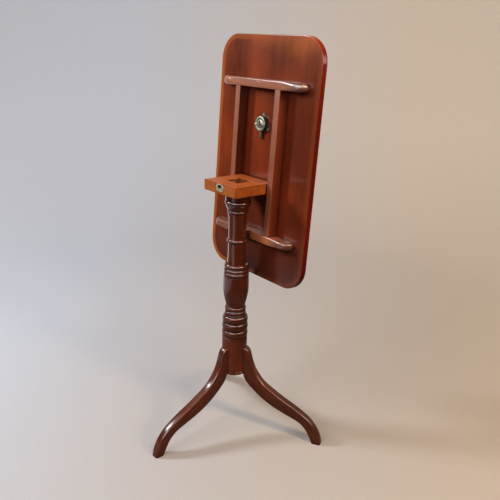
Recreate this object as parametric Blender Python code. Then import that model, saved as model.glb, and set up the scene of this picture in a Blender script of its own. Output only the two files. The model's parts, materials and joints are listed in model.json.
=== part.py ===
"""Tilt-top tripod table, standing with its top tipped up.

Metres, +Z up, floor at z = 0. The hinge runs along X and the underside of the raised top faces -Y.
The origin lies on the floor under the middle of the whole table's box.
"""

import math

import bmesh
import bpy
from mathutils import Matrix, Vector

# Fits shared by every joint in the table
SEAT_GAP = 0.0003
HOLE_GAP = 0.0003
HINGE_GAP = 0.0003
CUT_OVERRUN = 0.003

# Table top
TOP_LENGTH = 0.610
TOP_WIDTH = 0.368
TOP_THICKNESS = 0.017
TOP_CORNER_RADIUS = 0.062
TOP_ARRIS_ROUND = 0.0012
TOP_EDGE_ROUND = 0.004
TOP_LEAN = math.radians(3.04)

# Battens across the underside and bearers between them
FRAME_DEPTH = 0.0288
BATTEN_LENGTH = 0.300
BATTEN_WIDTH = 0.0205
BATTEN_SPACING = 0.380
BATTEN_END_ROUND = 0.027
BATTEN_NOSE_SHARE = 0.9
BEARER_WIDTH = 0.0178
BEARER_INNER_SPACING = 0.1306

# Block on top of the column, with the two pintles that the top turns on
BLOCK_WIDTH = 0.1256
BLOCK_THICKNESS = 0.0258
BLOCK_TOP_HEIGHT = 0.7065
BLOCK_FRONT_REACH = 0.0604
PINTLE_RADIUS = 0.006
PINTLE_BITE = 0.0115
HINGE_DEPTH = 0.0105
HINGE_SETBACK = 0.0557

# Turned column
COLUMN_FOOT_HEIGHT = 0.170
COLUMN_RADIUS = 0.034
COLUMN_SIDES = 24
TENON_WIDTH = 0.039
TENON_SHY = 0.0025
WEDGE_LENGTH = 0.014
WEDGE_THICKNESS = 0.0032
WEDGE_TIP_THICKNESS = 0.0014

# Legs and the sliding dovetails that hold them
LEG_REACH = 0.2607
LEG_THICKNESS = 0.0225
LEG_SHOULDER_RISE = 0.080
LEG_STEPS = 3
DOVETAIL_HEIGHT = 0.066
DOVETAIL_DEPTH = 0.0155
DOVETAIL_NECK = 0.011
DOVETAIL_TAIL = 0.016
DOVETAIL_ROOT = 0.006

# Iron strap plate under the column
STRAP_THICKNESS = 0.002
STRAP_WIDTH = 0.014
STRAP_HUB_RADIUS = 0.016
STRAP_REACH = 0.060
STRAP_SCREW_REACH = 0.051

# Screws: the head is measured across its radius, the length from the head's face to the point
FRAME_SCREW_HEAD = 0.0040
FRAME_SCREW_SHANK = 0.0022
FRAME_SCREW_BITE = 0.0095
FRAME_SCREW_SINK = 0.0110
PLUG_RADIUS = 0.0052
PLUG_LENGTH = 0.0050
PLATE_SCREW_HEAD = 0.0026
PLATE_SCREW_SHANK = 0.0014
PLATE_SCREW_LENGTH = 0.0100
STRAP_SCREW_HEAD = 0.0040
STRAP_SCREW_SHANK = 0.0020
STRAP_SCREW_LENGTH = 0.0160
SCREW_SIDES = 12

# Places of the frame screws, measured from the middle of the batten or bearer
BATTEN_SCREW_SPREAD = 0.112
BEARER_SCREW_SPREAD = 0.110

# Striker plate on the block's front edge
STRIKER_WIDTH = 0.029
STRIKER_HEIGHT = 0.019
STRIKER_THICKNESS = 0.0015
STRIKER_SLOT_WIDTH = 0.012
STRIKER_SLOT_HEIGHT = 0.005
STRIKER_SLOT_DEPTH = 0.0065
STRIKER_SCREW_SPREAD = 0.0095
STRIKER_SCREW_DROP = 0.0138
STRIKER_TOP_MARGIN = 0.0004

# Spring catch on the underside of the top
CATCH_STANDOFF = 0.032
CATCH_PLATE_THICKNESS = 0.0015
CATCH_EAR_REACH = 0.0225
CATCH_EAR_RADIUS = 0.0065
CATCH_CASE_RADIUS = 0.019
CATCH_CASE_DEPTH = 0.0102
CATCH_CASE_WALL = 0.0012
CATCH_CASE_SIDES = 32
BOLT_WIDTH = 0.009
BOLT_THICKNESS = 0.003
BOLT_DROP = 0.006
BOLT_TAIL = 0.005
BOLT_ENGAGEMENT = 0.004
BOLT_TRAVEL = 0.006
KNOB_STEM_RADIUS = 0.0022
KNOB_TANG_RADIUS = 0.0015
KNOB_HEAD_RADIUS = 0.0045
KNOB_STAND = 0.0150
SPRING_RADIUS = 0.0025
SPRING_WALL = 0.0008

# Upper and lower lines of a leg's side, from the column to the foot. Both run out in shares of the leg's
# reach. The upper one rises in shares of the shoulder's height, the lower in shares of the column foot's.
LEG_UPPER_SHARES = (
    (0.110, 1.000), (0.140, 0.995), (0.172, 0.955), (0.203, 0.840), (0.245, 0.736),
    (0.334, 0.616), (0.449, 0.532), (0.579, 0.452), (0.683, 0.396), (0.798, 0.324),
    (0.880, 0.256), (0.945, 0.170), (0.985, 0.076), (1.000, 0.000),
)
LEG_LOWER_SHARES = (
    (0.110, 1.037), (0.130, 0.963), (0.161, 0.865), (0.245, 0.735), (0.353, 0.606),
    (0.483, 0.494), (0.637, 0.400), (0.745, 0.335), (0.820, 0.243), (0.868, 0.125), (0.908, 0.000),
)

# Turned members of the column from its foot up. Each is a kind, the height where it ends as a share of the
# turned length, the radius there and, for a bead, its crest's radius, both as shares of the column radius.
COLUMN_START_SHARE = 0.930
COLUMN_MEMBER_SHARES = (
    ("line", 0.004, 0.970), ("line", 0.012, 0.970), ("line", 0.016, 0.945), ("line", 0.020, 0.970),
    ("line", 0.157, 0.985), ("line", 0.199, 0.997), ("line", 0.203, 0.965), ("line", 0.207, 0.997),
    ("line", 0.216, 0.980), ("bead", 0.252, 0.950, 1.022), ("bead", 0.297, 0.940, 1.024),
    ("bead", 0.334, 0.900, 1.008), ("line", 0.338, 0.770), ("bead", 0.363, 0.780, 0.832),
    ("bead", 0.386, 0.765, 0.838), ("line", 0.390, 0.750), ("rise", 0.500, 1.003), ("line", 0.528, 1.003),
    ("line", 0.553, 0.985), ("line", 0.559, 0.935), ("bead", 0.577, 0.930, 0.978),
    ("bead", 0.596, 0.915, 0.970), ("bead", 0.622, 0.880, 0.965), ("line", 0.625, 0.725),
    ("line", 0.665, 0.700), ("line", 0.733, 0.688), ("bead", 0.756, 0.680, 0.795),
    ("line", 0.825, 0.672), ("line", 0.876, 0.684), ("line", 0.879, 0.720), ("line", 0.890, 0.725),
    ("bead", 0.903, 0.755, 0.780), ("rise", 0.930, 0.930), ("bead", 0.958, 0.940, 0.975),
    ("line", 1.000, 0.950),
)
BEAD_STEPS = 5
RISE_STEPS = 6
CORNER_STEPS = 8
ROUND_STEPS = 3
SMOOTH_ANGLE = math.radians(35)
SCREW_SLOT_SHARE = 0.25
BOLT_BEVEL_SHARE = 0.67
MERGE_SHARE = 0.01

# Directions of the three legs, turned from the front of the table
LEG_BEARINGS = {"front": 0.0, "right": math.radians(120), "left": math.radians(240)}
CATCH_EAR_BEARINGS = {"left": 30, "right": 150, "far": 270}

# Sizes worked out from the ones above
LEG_SHOULDER_HEIGHT = COLUMN_FOOT_HEIGHT + LEG_SHOULDER_RISE
COLUMN_LENGTH = BLOCK_TOP_HEIGHT - BLOCK_THICKNESS - SEAT_GAP - COLUMN_FOOT_HEIGHT
REAR_FOOT_REACH = LEG_REACH * math.cos(math.radians(60)) + LEG_THICKNESS / 2 * math.sin(math.radians(60))
COLUMN_Y = (LEG_REACH - REAR_FOOT_REACH) / 2
UNDERSIDE = HINGE_DEPTH + HINGE_GAP
FRAME_FACE = UNDERSIDE - SEAT_GAP - FRAME_DEPTH
TOP_CENTRE_Y = -HINGE_SETBACK
HINGE_HEIGHT = BLOCK_TOP_HEIGHT - HINGE_DEPTH
BLOCK_BELOW_HINGE = BLOCK_THICKNESS - HINGE_DEPTH
BLOCK_BACK_REACH = (HINGE_DEPTH - BLOCK_BELOW_HINGE * math.sin(TOP_LEAN)) / math.cos(TOP_LEAN)
LEG_FIT_RADIUS = COLUMN_RADIUS + SEAT_GAP


def clear_scene():
    for obj in list(bpy.data.objects):
        bpy.data.objects.remove(obj, do_unlink=True)


def make_material(name, color, roughness, metallic):
    material = bpy.data.materials.new(name)
    material.use_nodes = True
    shader = material.node_tree.nodes["Principled BSDF"]
    shader.inputs["Base Color"].default_value = (*color, 1.0)
    shader.inputs["Roughness"].default_value = roughness
    shader.inputs["Metallic"].default_value = metallic
    return material


def add_object(name, bm, parent=None, matrix=None):
    bmesh.ops.recalc_face_normals(bm, faces=bm.faces)
    mesh = bpy.data.meshes.new(name)
    bm.to_mesh(mesh)
    bm.free()
    mesh.shade_smooth()
    mesh.set_sharp_from_angle(angle=SMOOTH_ANGLE)
    obj = bpy.data.objects.new(name, mesh)
    bpy.context.collection.objects.link(obj)
    obj.parent = parent
    obj.matrix_basis = matrix or Matrix()
    return obj


def add_piece(name, bm, material, parent=None, matrix=None):
    obj = add_object(name, bm, parent, matrix)
    obj.data.materials.append(material)
    return obj


def combine(target, bm, operation, matrix=None):
    """Cuts a shape from a piece, or joins it on, in the frame that the piece stands in."""
    helper = add_object(target.name + "_" + operation.lower(), bm, target.parent, matrix)
    helper.hide_render = True
    helper.display_type = "WIRE"
    modifier = target.modifiers.new(helper.name, "BOOLEAN")
    modifier.operation = operation
    modifier.object = helper
    modifier.solver = "EXACT"


def prism(outline, low, high):
    """Extrudes an outline of (x, y) points from z = low to z = high."""
    bm = bmesh.new()
    face = bm.faces.new([bm.verts.new((x, y, low)) for x, y in outline])
    grown = bmesh.ops.extrude_face_region(bm, geom=[face])
    moved = [item for item in grown["geom"] if isinstance(item, bmesh.types.BMVert)]
    bmesh.ops.translate(bm, verts=moved, vec=(0, 0, high - low))
    return bm


def box(size_x, size_y, size_z):
    bm = bmesh.new()
    bmesh.ops.create_cube(bm, size=1)
    bmesh.ops.scale(bm, vec=(size_x, size_y, size_z), verts=bm.verts)
    return bm


def turned(outline, sides):
    """Spins an outline of (radius, z) points, which starts and ends on the axis or closes on itself."""
    bm = bmesh.new()
    verts = [bm.verts.new((radius, 0, z)) for radius, z in outline]
    edges = [bm.edges.new(pair) for pair in zip(verts, verts[1:])]
    if outline[0][0] > 0:
        edges.append(bm.edges.new((verts[-1], verts[0])))
    bmesh.ops.spin(bm, geom=verts + edges, axis=(0, 0, 1), cent=(0, 0, 0), steps=sides,
                   angle=math.tau, use_merge=True)
    bmesh.ops.remove_doubles(bm, verts=bm.verts, dist=SEAT_GAP * MERGE_SHARE)
    return bm


def arc(centre, radius, start, end, steps):
    """Points on an arc, with the angles in degrees."""
    angles = [math.radians(start + (end - start) * step / steps) for step in range(steps + 1)]
    return [(centre[0] + radius * math.cos(a), centre[1] + radius * math.sin(a)) for a in angles]


def smooth_line(points, steps):
    """A curve through the points, in even steps between each two."""
    padded = [points[0], *points, points[-1]]
    line = []
    for before, start, end, after in zip(padded, padded[1:], padded[2:], padded[3:]):
        for step in range(steps):
            t = step / steps
            line.append(tuple(
                ((2 * p1) + (p2 - p0) * t + (2 * p0 - 5 * p1 + 4 * p2 - p3) * t**2
                 + (3 * p1 - p0 - 3 * p2 + p3) * t**3) / 2
                for p0, p1, p2, p3 in zip(before, start, end, after)))
    return line + [points[-1]]


def rounded_rectangle(half_x, half_y, radius, steps):
    corners = ((1, 1, 0), (-1, 1, 90), (-1, -1, 180), (1, -1, 270))
    outline = []
    for side_x, side_y, start in corners:
        centre = (side_x * (half_x - radius), side_y * (half_y - radius))
        outline += arc(centre, radius, start, start + 90, steps)
    return outline


def upper_leg_line():
    return smooth_line([(r * LEG_REACH, z * LEG_SHOULDER_HEIGHT) for r, z in LEG_UPPER_SHARES], LEG_STEPS)


def lower_leg_line():
    return smooth_line([(r * LEG_REACH, z * COLUMN_FOOT_HEIGHT) for r, z in LEG_LOWER_SHARES], LEG_STEPS)


def column_outline():
    radius, height = COLUMN_START_SHARE, 0.0
    outline = [(0.0, height), (radius, height)]
    for kind, top, end, *crest in COLUMN_MEMBER_SHARES:
        if kind == "bead":
            for step in range(1, BEAD_STEPS + 1):
                turn = math.pi * step / BEAD_STEPS
                root = radius + (end - radius) * step / BEAD_STEPS
                swell = (crest[0] - (radius + end) / 2) * math.sin(turn)
                outline.append((root + swell, height + (top - height) * (1 - math.cos(turn)) / 2))
        elif kind == "rise":
            for step in range(1, RISE_STEPS + 1):
                share = step / RISE_STEPS
                swell = (end - radius) * math.sin(share * math.pi / 2)
                outline.append((radius + swell, height + (top - height) * share))
        else:
            outline.append((end, top))
        radius, height = end, top
    outline.append((0.0, height))
    return [(r * COLUMN_RADIUS, COLUMN_FOOT_HEIGHT + h * COLUMN_LENGTH) for r, h in outline]


def dovetail_outline(gap):
    """Plan of a dovetail key: x runs out along the leg, y across it."""
    tail_x = COLUMN_RADIUS - DOVETAIL_DEPTH - gap
    neck_x = COLUMN_RADIUS
    root_x = LEG_FIT_RADIUS + DOVETAIL_ROOT
    tail = DOVETAIL_TAIL / 2 + gap
    neck = DOVETAIL_NECK / 2 + gap
    right = [(tail_x, -tail), (neck_x, -neck), (root_x, -neck)]
    return right + [(x, -y) for x, y in reversed(right)]


def screw_outline(head, shank, length):
    """A countersunk screw pointing along +Z, with its head's face at z = 0."""
    taper = head - shank
    return [(0.0, 0.0), (head, 0.0), (shank, taper), (shank, length - shank), (0.0, length)]


def screw_hole_outline(head, shank, length, sink):
    """The hole for such a screw, opened out to its head's radius as far back as z = -sink."""
    taper = head - shank
    wide, thin, tip = head + HOLE_GAP, shank + HOLE_GAP, length + HOLE_GAP
    cone = [(wide, HOLE_GAP / 2), (thin, taper + HOLE_GAP / 2)]
    return [(0.0, -sink), (wide, -sink), *cone, (thin, tip), (0.0, tip)]


def make_screw(name, head, shank, length, material, matrix, parent=None):
    blank = turned(screw_outline(head, shank, length), SCREW_SIDES)
    screw = add_piece(name, blank, material, parent, matrix)
    combine(screw, box(head * 3, head * SCREW_SLOT_SHARE, head - shank), "DIFFERENCE", matrix)
    return screw


def drill(piece, head, shank, length, sink, matrix):
    hole = turned(screw_hole_outline(head, shank, length, sink), SCREW_SIDES)
    combine(piece, hole, "DIFFERENCE", matrix)


def leg_frame(bearing):
    """X runs out along the leg, Y across it, Z up."""
    return Matrix.Translation((0, COLUMN_Y, 0)) @ Matrix.Rotation(bearing - math.radians(90), 4, "Z")


def strap_screw_frame(bearing):
    """On the strap's lower face under a leg, pointing squarely into the leg."""
    line = lower_leg_line()
    start, end = next(pair for pair in zip(line, line[1:]) if pair[1][0] > STRAP_SCREW_REACH)
    along = Vector((end[0] - start[0], 0, end[1] - start[1])).normalized()
    inward = Vector((-along.z, 0, along.x))
    face = Vector((start[0], 0, start[1])) - inward * (SEAT_GAP + STRAP_THICKNESS)
    turn = inward.to_track_quat("Z", "Y").to_matrix().to_4x4()
    return leg_frame(bearing) @ Matrix.Translation(face) @ turn


def centre_screw_frame():
    face_height = COLUMN_FOOT_HEIGHT - SEAT_GAP - STRAP_THICKNESS
    return Matrix.Translation((0, COLUMN_Y, face_height))


def strap_arm_outline():
    """Side of a strap arm: flat under the column, then bent down along the leg's lower line."""
    line = [point for point in lower_leg_line() if point[0] <= STRAP_REACH]
    last = len(line) - 1
    tangents = [(Vector(line[min(i + 1, last)]) - Vector(line[max(i - 1, 0)])).normalized()
                for i in range(len(line))]
    downward = [Vector((tangent.y, -tangent.x)) for tangent in tangents]
    upper = [Vector(p) + d * SEAT_GAP for p, d in zip(line, downward)]
    lower = [Vector(p) + d * (SEAT_GAP + STRAP_THICKNESS) for p, d in zip(line, downward)]
    plate_top = COLUMN_FOOT_HEIGHT - SEAT_GAP
    plate_bottom = plate_top - STRAP_THICKNESS
    upper = [p for p in upper if p.y < plate_top]
    lower = [p for p in lower if p.y < plate_bottom]
    outline = [Vector((0, plate_bottom)), Vector((0, plate_top)), Vector((upper[0].x, plate_top)), *upper]
    outline += [*reversed(lower), Vector((lower[0].x, plate_bottom))]
    return [(p.x, p.y) for p in outline]


def side_to_leg():
    """Carries an outline drawn as (reach, height) into the leg's frame, centred on its thickness."""
    return Matrix.Rotation(math.radians(90), 4, "X")


def make_column(wood):
    turning = turned(column_outline(), COLUMN_SIDES)
    column = add_piece("column", turning, wood, None, Matrix.Translation((0, COLUMN_Y, 0)))
    shoulder = COLUMN_FOOT_HEIGHT + COLUMN_LENGTH
    tenon_top = BLOCK_TOP_HEIGHT - TENON_SHY
    tenon_height = tenon_top - shoulder + CUT_OVERRUN
    tenon_frame = Matrix.Translation((0, COLUMN_Y, tenon_top - tenon_height / 2))
    combine(column, box(TENON_WIDTH, TENON_WIDTH, tenon_height), "UNION", tenon_frame)
    kerf = prism(wedge_outline(SEAT_GAP, CUT_OVERRUN), -TENON_WIDTH, TENON_WIDTH)
    combine(column, kerf, "DIFFERENCE", wedge_frame())
    for bearing in LEG_BEARINGS.values():
        socket = prism(dovetail_outline(SEAT_GAP), -CUT_OVERRUN, DOVETAIL_HEIGHT + SEAT_GAP)
        place = leg_frame(bearing) @ Matrix.Translation((0, 0, COLUMN_FOOT_HEIGHT))
        combine(column, socket, "DIFFERENCE", place)
    frame = centre_screw_frame()
    drill(column, STRAP_SCREW_HEAD, STRAP_SCREW_SHANK, STRAP_SCREW_LENGTH, CUT_OVERRUN, frame)


def wedge_outline(gap, overrun):
    """Section of the tenon's wedge: x across it, y up from its point."""
    slope = (WEDGE_THICKNESS - WEDGE_TIP_THICKNESS) / WEDGE_LENGTH / 2
    tip = WEDGE_TIP_THICKNESS / 2 + gap
    head = WEDGE_THICKNESS / 2 + gap + slope * overrun
    top = WEDGE_LENGTH + overrun
    return [(-tip, -gap), (tip, -gap), (head, top), (-head, top)]


def wedge_frame():
    """Runs the wedge's section along X, with its head level with the tenon's top."""
    turn = Matrix(((0, 0, 1, 0), (1, 0, 0, 0), (0, 1, 0, 0), (0, 0, 0, 1)))
    return Matrix.Translation((0, COLUMN_Y, BLOCK_TOP_HEIGHT - TENON_SHY - WEDGE_LENGTH)) @ turn


def make_wedge(wood):
    bm = prism(wedge_outline(0, 0), -TENON_WIDTH / 2, TENON_WIDTH / 2)
    add_piece("tenon_wedge", bm, wood, None, wedge_frame())


def make_leg(side, bearing, wood):
    outline = upper_leg_line() + lower_leg_line()[::-1]
    blank = prism(outline, -LEG_THICKNESS / 2, LEG_THICKNESS / 2)
    bmesh.ops.transform(blank, matrix=side_to_leg(), verts=blank.verts)
    frame = leg_frame(bearing)
    leg = add_piece("leg_" + side, blank, wood, None, frame)
    low, high = -CUT_OVERRUN, LEG_SHOULDER_HEIGHT + CUT_OVERRUN
    post = [(0.0, low), (LEG_FIT_RADIUS, low), (LEG_FIT_RADIUS, high), (0.0, high)]
    combine(leg, turned(post, COLUMN_SIDES), "DIFFERENCE", Matrix.Translation((0, COLUMN_Y, 0)))
    key = prism(dovetail_outline(0), COLUMN_FOOT_HEIGHT, COLUMN_FOOT_HEIGHT + DOVETAIL_HEIGHT)
    combine(leg, key, "UNION", frame)
    frame = strap_screw_frame(bearing)
    drill(leg, STRAP_SCREW_HEAD, STRAP_SCREW_SHANK, STRAP_SCREW_LENGTH, CUT_OVERRUN, frame)


def make_strap(iron):
    hub_top = COLUMN_FOOT_HEIGHT - SEAT_GAP
    hub = [(0.0, hub_top), (STRAP_HUB_RADIUS, hub_top), (STRAP_HUB_RADIUS, hub_top - STRAP_THICKNESS),
           (0.0, hub_top - STRAP_THICKNESS)]
    hub = turned(hub, COLUMN_SIDES)
    strap = add_piece("strap_plate", hub, iron, None, Matrix.Translation((0, COLUMN_Y, 0)))
    for bearing in LEG_BEARINGS.values():
        arm = prism(strap_arm_outline(), -STRAP_WIDTH / 2, STRAP_WIDTH / 2)
        combine(strap, arm, "UNION", leg_frame(bearing) @ side_to_leg())
    frames = {side: strap_screw_frame(bearing) for side, bearing in LEG_BEARINGS.items()}
    frames["centre"] = centre_screw_frame()
    for side, frame in frames.items():
        name = "strap_screw_" + side
        drill(strap, STRAP_SCREW_HEAD, STRAP_SCREW_SHANK, STRAP_SCREW_LENGTH, CUT_OVERRUN, frame)
        make_screw(name, STRAP_SCREW_HEAD, STRAP_SCREW_SHANK, STRAP_SCREW_LENGTH, iron, frame)


def block_side_outline():
    """Side of the block as (y, z) from the hinge axis, its upper back edge rounded about that axis."""
    top, bottom = HINGE_DEPTH, -BLOCK_BELOW_HINGE
    front, back = -HINGE_SETBACK - BLOCK_FRONT_REACH, BLOCK_BACK_REACH
    end = math.degrees(math.acos(min(1.0, back / HINGE_DEPTH)))
    rounding = arc((0, 0), HINGE_DEPTH, 90, end, CORNER_STEPS)
    return [(front, bottom), (front, top), *rounding, (back, bottom)]


def along_x():
    """Turns an outline drawn as (y, z) so that it is extruded along X."""
    return Matrix(((0, 0, 1, 0), (1, 0, 0, 0), (0, 1, 0, 0), (0, 0, 0, 1)))


def hinge_frame():
    return Matrix.Translation((0, COLUMN_Y + HINGE_SETBACK, HINGE_HEIGHT))


def make_block(wood):
    frame = hinge_frame() @ along_x()
    blank = prism(block_side_outline(), -BLOCK_WIDTH / 2, BLOCK_WIDTH / 2)
    block = add_piece("top_block", blank, wood, None, frame)
    half = BEARER_INNER_SPACING / 2 + PINTLE_BITE
    pintle = [(0.0, -half), (PINTLE_RADIUS, -half), (PINTLE_RADIUS, half), (0.0, half)]
    combine(block, turned(pintle, COLUMN_SIDES), "UNION", frame)
    mortise_width = TENON_WIDTH + SEAT_GAP * 2
    mortise_frame = Matrix.Translation((0, COLUMN_Y, BLOCK_TOP_HEIGHT - BLOCK_THICKNESS / 2))
    mortise = box(mortise_width, mortise_width, BLOCK_THICKNESS + CUT_OVERRUN)
    combine(block, mortise, "DIFFERENCE", mortise_frame)
    front = COLUMN_Y - BLOCK_FRONT_REACH
    seat_depth = STRIKER_THICKNESS + SEAT_GAP
    seat = box(STRIKER_WIDTH + SEAT_GAP * 2, seat_depth * 2, STRIKER_HEIGHT + SEAT_GAP * 2)
    combine(block, seat, "DIFFERENCE", Matrix.Translation((0, front, striker_middle())))
    slot = box(STRIKER_SLOT_WIDTH, STRIKER_SLOT_DEPTH * 2, STRIKER_SLOT_HEIGHT)
    combine(block, slot, "DIFFERENCE", Matrix.Translation((0, front, slot_middle())))
    for frame in striker_screw_frames().values():
        drill(block, PLATE_SCREW_HEAD, PLATE_SCREW_SHANK, PLATE_SCREW_LENGTH, CUT_OVERRUN, frame)


def striker_middle():
    return BLOCK_TOP_HEIGHT - STRIKER_TOP_MARGIN - SEAT_GAP - STRIKER_HEIGHT / 2


def slot_middle():
    """Where the bolt lies when the top is down."""
    return BLOCK_TOP_HEIGHT + HINGE_GAP - BOLT_DROP


def striker_screw_frames():
    frames = {}
    for side, sign in (("left", -1), ("right", 1)):
        height = BLOCK_TOP_HEIGHT - STRIKER_SCREW_DROP
        place = Matrix.Translation((sign * STRIKER_SCREW_SPREAD, COLUMN_Y - BLOCK_FRONT_REACH, height))
        frames[side] = place @ Matrix.Rotation(math.radians(-90), 4, "X")
    return frames


def make_striker(brass):
    front = COLUMN_Y - BLOCK_FRONT_REACH
    frame = Matrix.Translation((0, front + STRIKER_THICKNESS / 2, striker_middle()))
    blank = box(STRIKER_WIDTH, STRIKER_THICKNESS, STRIKER_HEIGHT)
    plate = add_piece("striker_plate", blank, brass, None, frame)
    slot = box(STRIKER_SLOT_WIDTH, STRIKER_SLOT_DEPTH, STRIKER_SLOT_HEIGHT)
    combine(plate, slot, "DIFFERENCE", Matrix.Translation((0, front, slot_middle())))
    for side, frame in striker_screw_frames().items():
        name = "striker_screw_" + side
        drill(plate, PLATE_SCREW_HEAD, PLATE_SCREW_SHANK, PLATE_SCREW_LENGTH, CUT_OVERRUN, frame)
        make_screw(name, PLATE_SCREW_HEAD, PLATE_SCREW_SHANK, PLATE_SCREW_LENGTH, brass, frame)


def make_hinge_empty():
    """Carries the top. Its own frame is the closed table's, and it is tipped back past upright."""
    hinge = bpy.data.objects.new("top_hinge", None)
    bpy.context.collection.objects.link(hinge)
    hinge.matrix_basis = hinge_frame() @ Matrix.Rotation(-math.radians(90) - TOP_LEAN, 4, "X")
    return hinge


def make_top(wood, hinge):
    """Loft of rounded rectangles, with the arris eased below and softly rounded above."""
    quarter = [math.pi / 2 * step / ROUND_STEPS for step in range(ROUND_STEPS + 1)]
    section = []
    for turn in quarter:
        section.append((TOP_ARRIS_ROUND * (1 - math.sin(turn)), TOP_ARRIS_ROUND * (1 - math.cos(turn))))
    for turn in quarter:
        height = TOP_THICKNESS - TOP_EDGE_ROUND * (1 - math.sin(turn))
        section.append((TOP_EDGE_ROUND * (1 - math.cos(turn)), height))
    bm = bmesh.new()
    rings = []
    for inset, height in section:
        half_x, half_y = TOP_WIDTH / 2 - inset, TOP_LENGTH / 2 - inset
        outline = rounded_rectangle(half_x, half_y, TOP_CORNER_RADIUS - inset, CORNER_STEPS)
        rings.append([bm.verts.new((x, y, height)) for x, y in outline])
    for lower, upper in zip(rings, rings[1:]):
        for i in range(len(lower)):
            bm.faces.new((lower[i - 1], lower[i], upper[i], upper[i - 1]))
    bm.faces.new(rings[0])
    bm.faces.new(rings[-1])
    top = add_piece("table_top", bm, wood, hinge, Matrix.Translation((0, TOP_CENTRE_Y, UNDERSIDE)))
    for frame in frame_screw_frames().values():
        drill(top, FRAME_SCREW_HEAD, FRAME_SCREW_SHANK, frame_screw_length(), 0.0, frame)
    for frame in catch_screw_frames().values():
        drill(top, PLATE_SCREW_HEAD, PLATE_SCREW_SHANK, PLATE_SCREW_LENGTH, 0.0, frame)


def frame_screw_length():
    return FRAME_DEPTH - FRAME_SCREW_SINK + FRAME_SCREW_BITE


def frame_screw_frames():
    """Screws up through the battens and bearers, in the closed top's frame."""
    height = FRAME_FACE + FRAME_SCREW_SINK
    bearer_x = BEARER_INNER_SPACING / 2 + BEARER_WIDTH / 2
    places = {}
    for batten, sign in (("upper", -1), ("lower", 1)):
        for number, shift in enumerate((-BATTEN_SCREW_SPREAD, 0.0, BATTEN_SCREW_SPREAD), 1):
            places[f"batten_{batten}_{number}"] = (shift, TOP_CENTRE_Y + sign * BATTEN_SPACING / 2)
    for side, sign in (("left", -1), ("right", 1)):
        for number, shift in enumerate((-BEARER_SCREW_SPREAD, BEARER_SCREW_SPREAD), 1):
            places[f"bearer_{side}_{number}"] = (sign * bearer_x, TOP_CENTRE_Y + shift)
    return {name: Matrix.Translation((x, y, height)) for name, (x, y) in places.items()}


def drill_frame_piece(piece, prefix):
    """Bores the sunk screw holes of one batten or bearer."""
    wide, narrow = PLUG_RADIUS + HOLE_GAP, FRAME_SCREW_SHANK + HOLE_GAP
    floor = FRAME_SCREW_HEAD - FRAME_SCREW_SHANK + HOLE_GAP
    mouth = -FRAME_SCREW_SINK - CUT_OVERRUN
    outline = [(0.0, mouth), (wide, mouth), (wide, 0.0), (FRAME_SCREW_HEAD + HOLE_GAP, 0.0),
               (narrow, floor), (narrow, FRAME_DEPTH), (0.0, FRAME_DEPTH)]
    for name, frame in frame_screw_frames().items():
        if name.startswith(prefix):
            combine(piece, turned(outline, SCREW_SIDES), "DIFFERENCE", frame)


def make_frame_screws(iron, wood, hinge):
    length = frame_screw_length()
    for name, frame in frame_screw_frames().items():
        make_screw("screw_" + name, FRAME_SCREW_HEAD, FRAME_SCREW_SHANK, length, iron, frame, hinge)
        plug = [(0.0, 0.0), (PLUG_RADIUS, 0.0), (PLUG_RADIUS, PLUG_LENGTH), (0.0, PLUG_LENGTH)]
        place = frame @ Matrix.Translation((0, 0, -FRAME_SCREW_SINK))
        add_piece("plug_" + name, turned(plug, SCREW_SIDES), wood, hinge, place)


def make_battens(wood, hinge):
    """A batten is flat against the top, and its ends are rounded off in side view and in plan."""
    half, end = BATTEN_LENGTH / 2, BATTEN_END_ROUND
    quarter = [math.pi / 2 * step / ROUND_STEPS / 2 for step in range(ROUND_STEPS * 2 + 1)]
    right = [(half - end + end * math.cos(a), FRAME_DEPTH - FRAME_DEPTH * math.sin(a)) for a in quarter]
    left = [(-x, z) for x, z in reversed(right)]
    outline = [(x, z - FRAME_DEPTH) for x, z in right + left]
    side = BATTEN_WIDTH / 2
    plan = rounded_rectangle(half, side, side * BATTEN_NOSE_SHARE, ROUND_STEPS * 2)
    for name, sign in (("upper", -1), ("lower", 1)):
        bm = prism(outline, -BATTEN_WIDTH / 2, BATTEN_WIDTH / 2)
        place = Matrix.Translation((0, TOP_CENTRE_Y + sign * BATTEN_SPACING / 2, UNDERSIDE - SEAT_GAP))
        batten = add_piece("batten_" + name, bm, wood, hinge, place @ side_to_leg())
        combine(batten, prism(plan, -FRAME_DEPTH - CUT_OVERRUN, CUT_OVERRUN), "INTERSECT", place)
        drill_frame_piece(batten, "batten_" + name)


def make_bearers(wood, hinge):
    length = BATTEN_SPACING - BATTEN_WIDTH - SEAT_GAP * 2
    middle_x = BEARER_INNER_SPACING / 2 + BEARER_WIDTH / 2
    for side, sign in (("left", -1), ("right", 1)):
        place = Matrix.Translation((sign * middle_x, TOP_CENTRE_Y, FRAME_FACE + FRAME_DEPTH / 2))
        bearer = add_piece("bearer_" + side, box(BEARER_WIDTH, length, FRAME_DEPTH), wood, hinge, place)
        start = BEARER_INNER_SPACING / 2 - CUT_OVERRUN
        end = BEARER_INNER_SPACING / 2 + PINTLE_BITE + HINGE_GAP
        wide = PINTLE_RADIUS + HINGE_GAP
        hole = [(0.0, start), (wide, start), (wide, end), (0.0, end)]
        turn = Matrix.Rotation(sign * math.radians(90), 4, "Y")
        combine(bearer, turned(hole, COLUMN_SIDES), "DIFFERENCE", turn)
        drill_frame_piece(bearer, "bearer_" + side)


def catch_y():
    return -(HINGE_SETBACK + BLOCK_FRONT_REACH + CATCH_STANDOFF)


def catch_frame():
    """Origin where the catch meets the underside: +Y points at the block and +Z away from the top."""
    return Matrix.Translation((0, catch_y(), UNDERSIDE)) @ Matrix.Diagonal((-1, 1, -1, 1))


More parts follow.
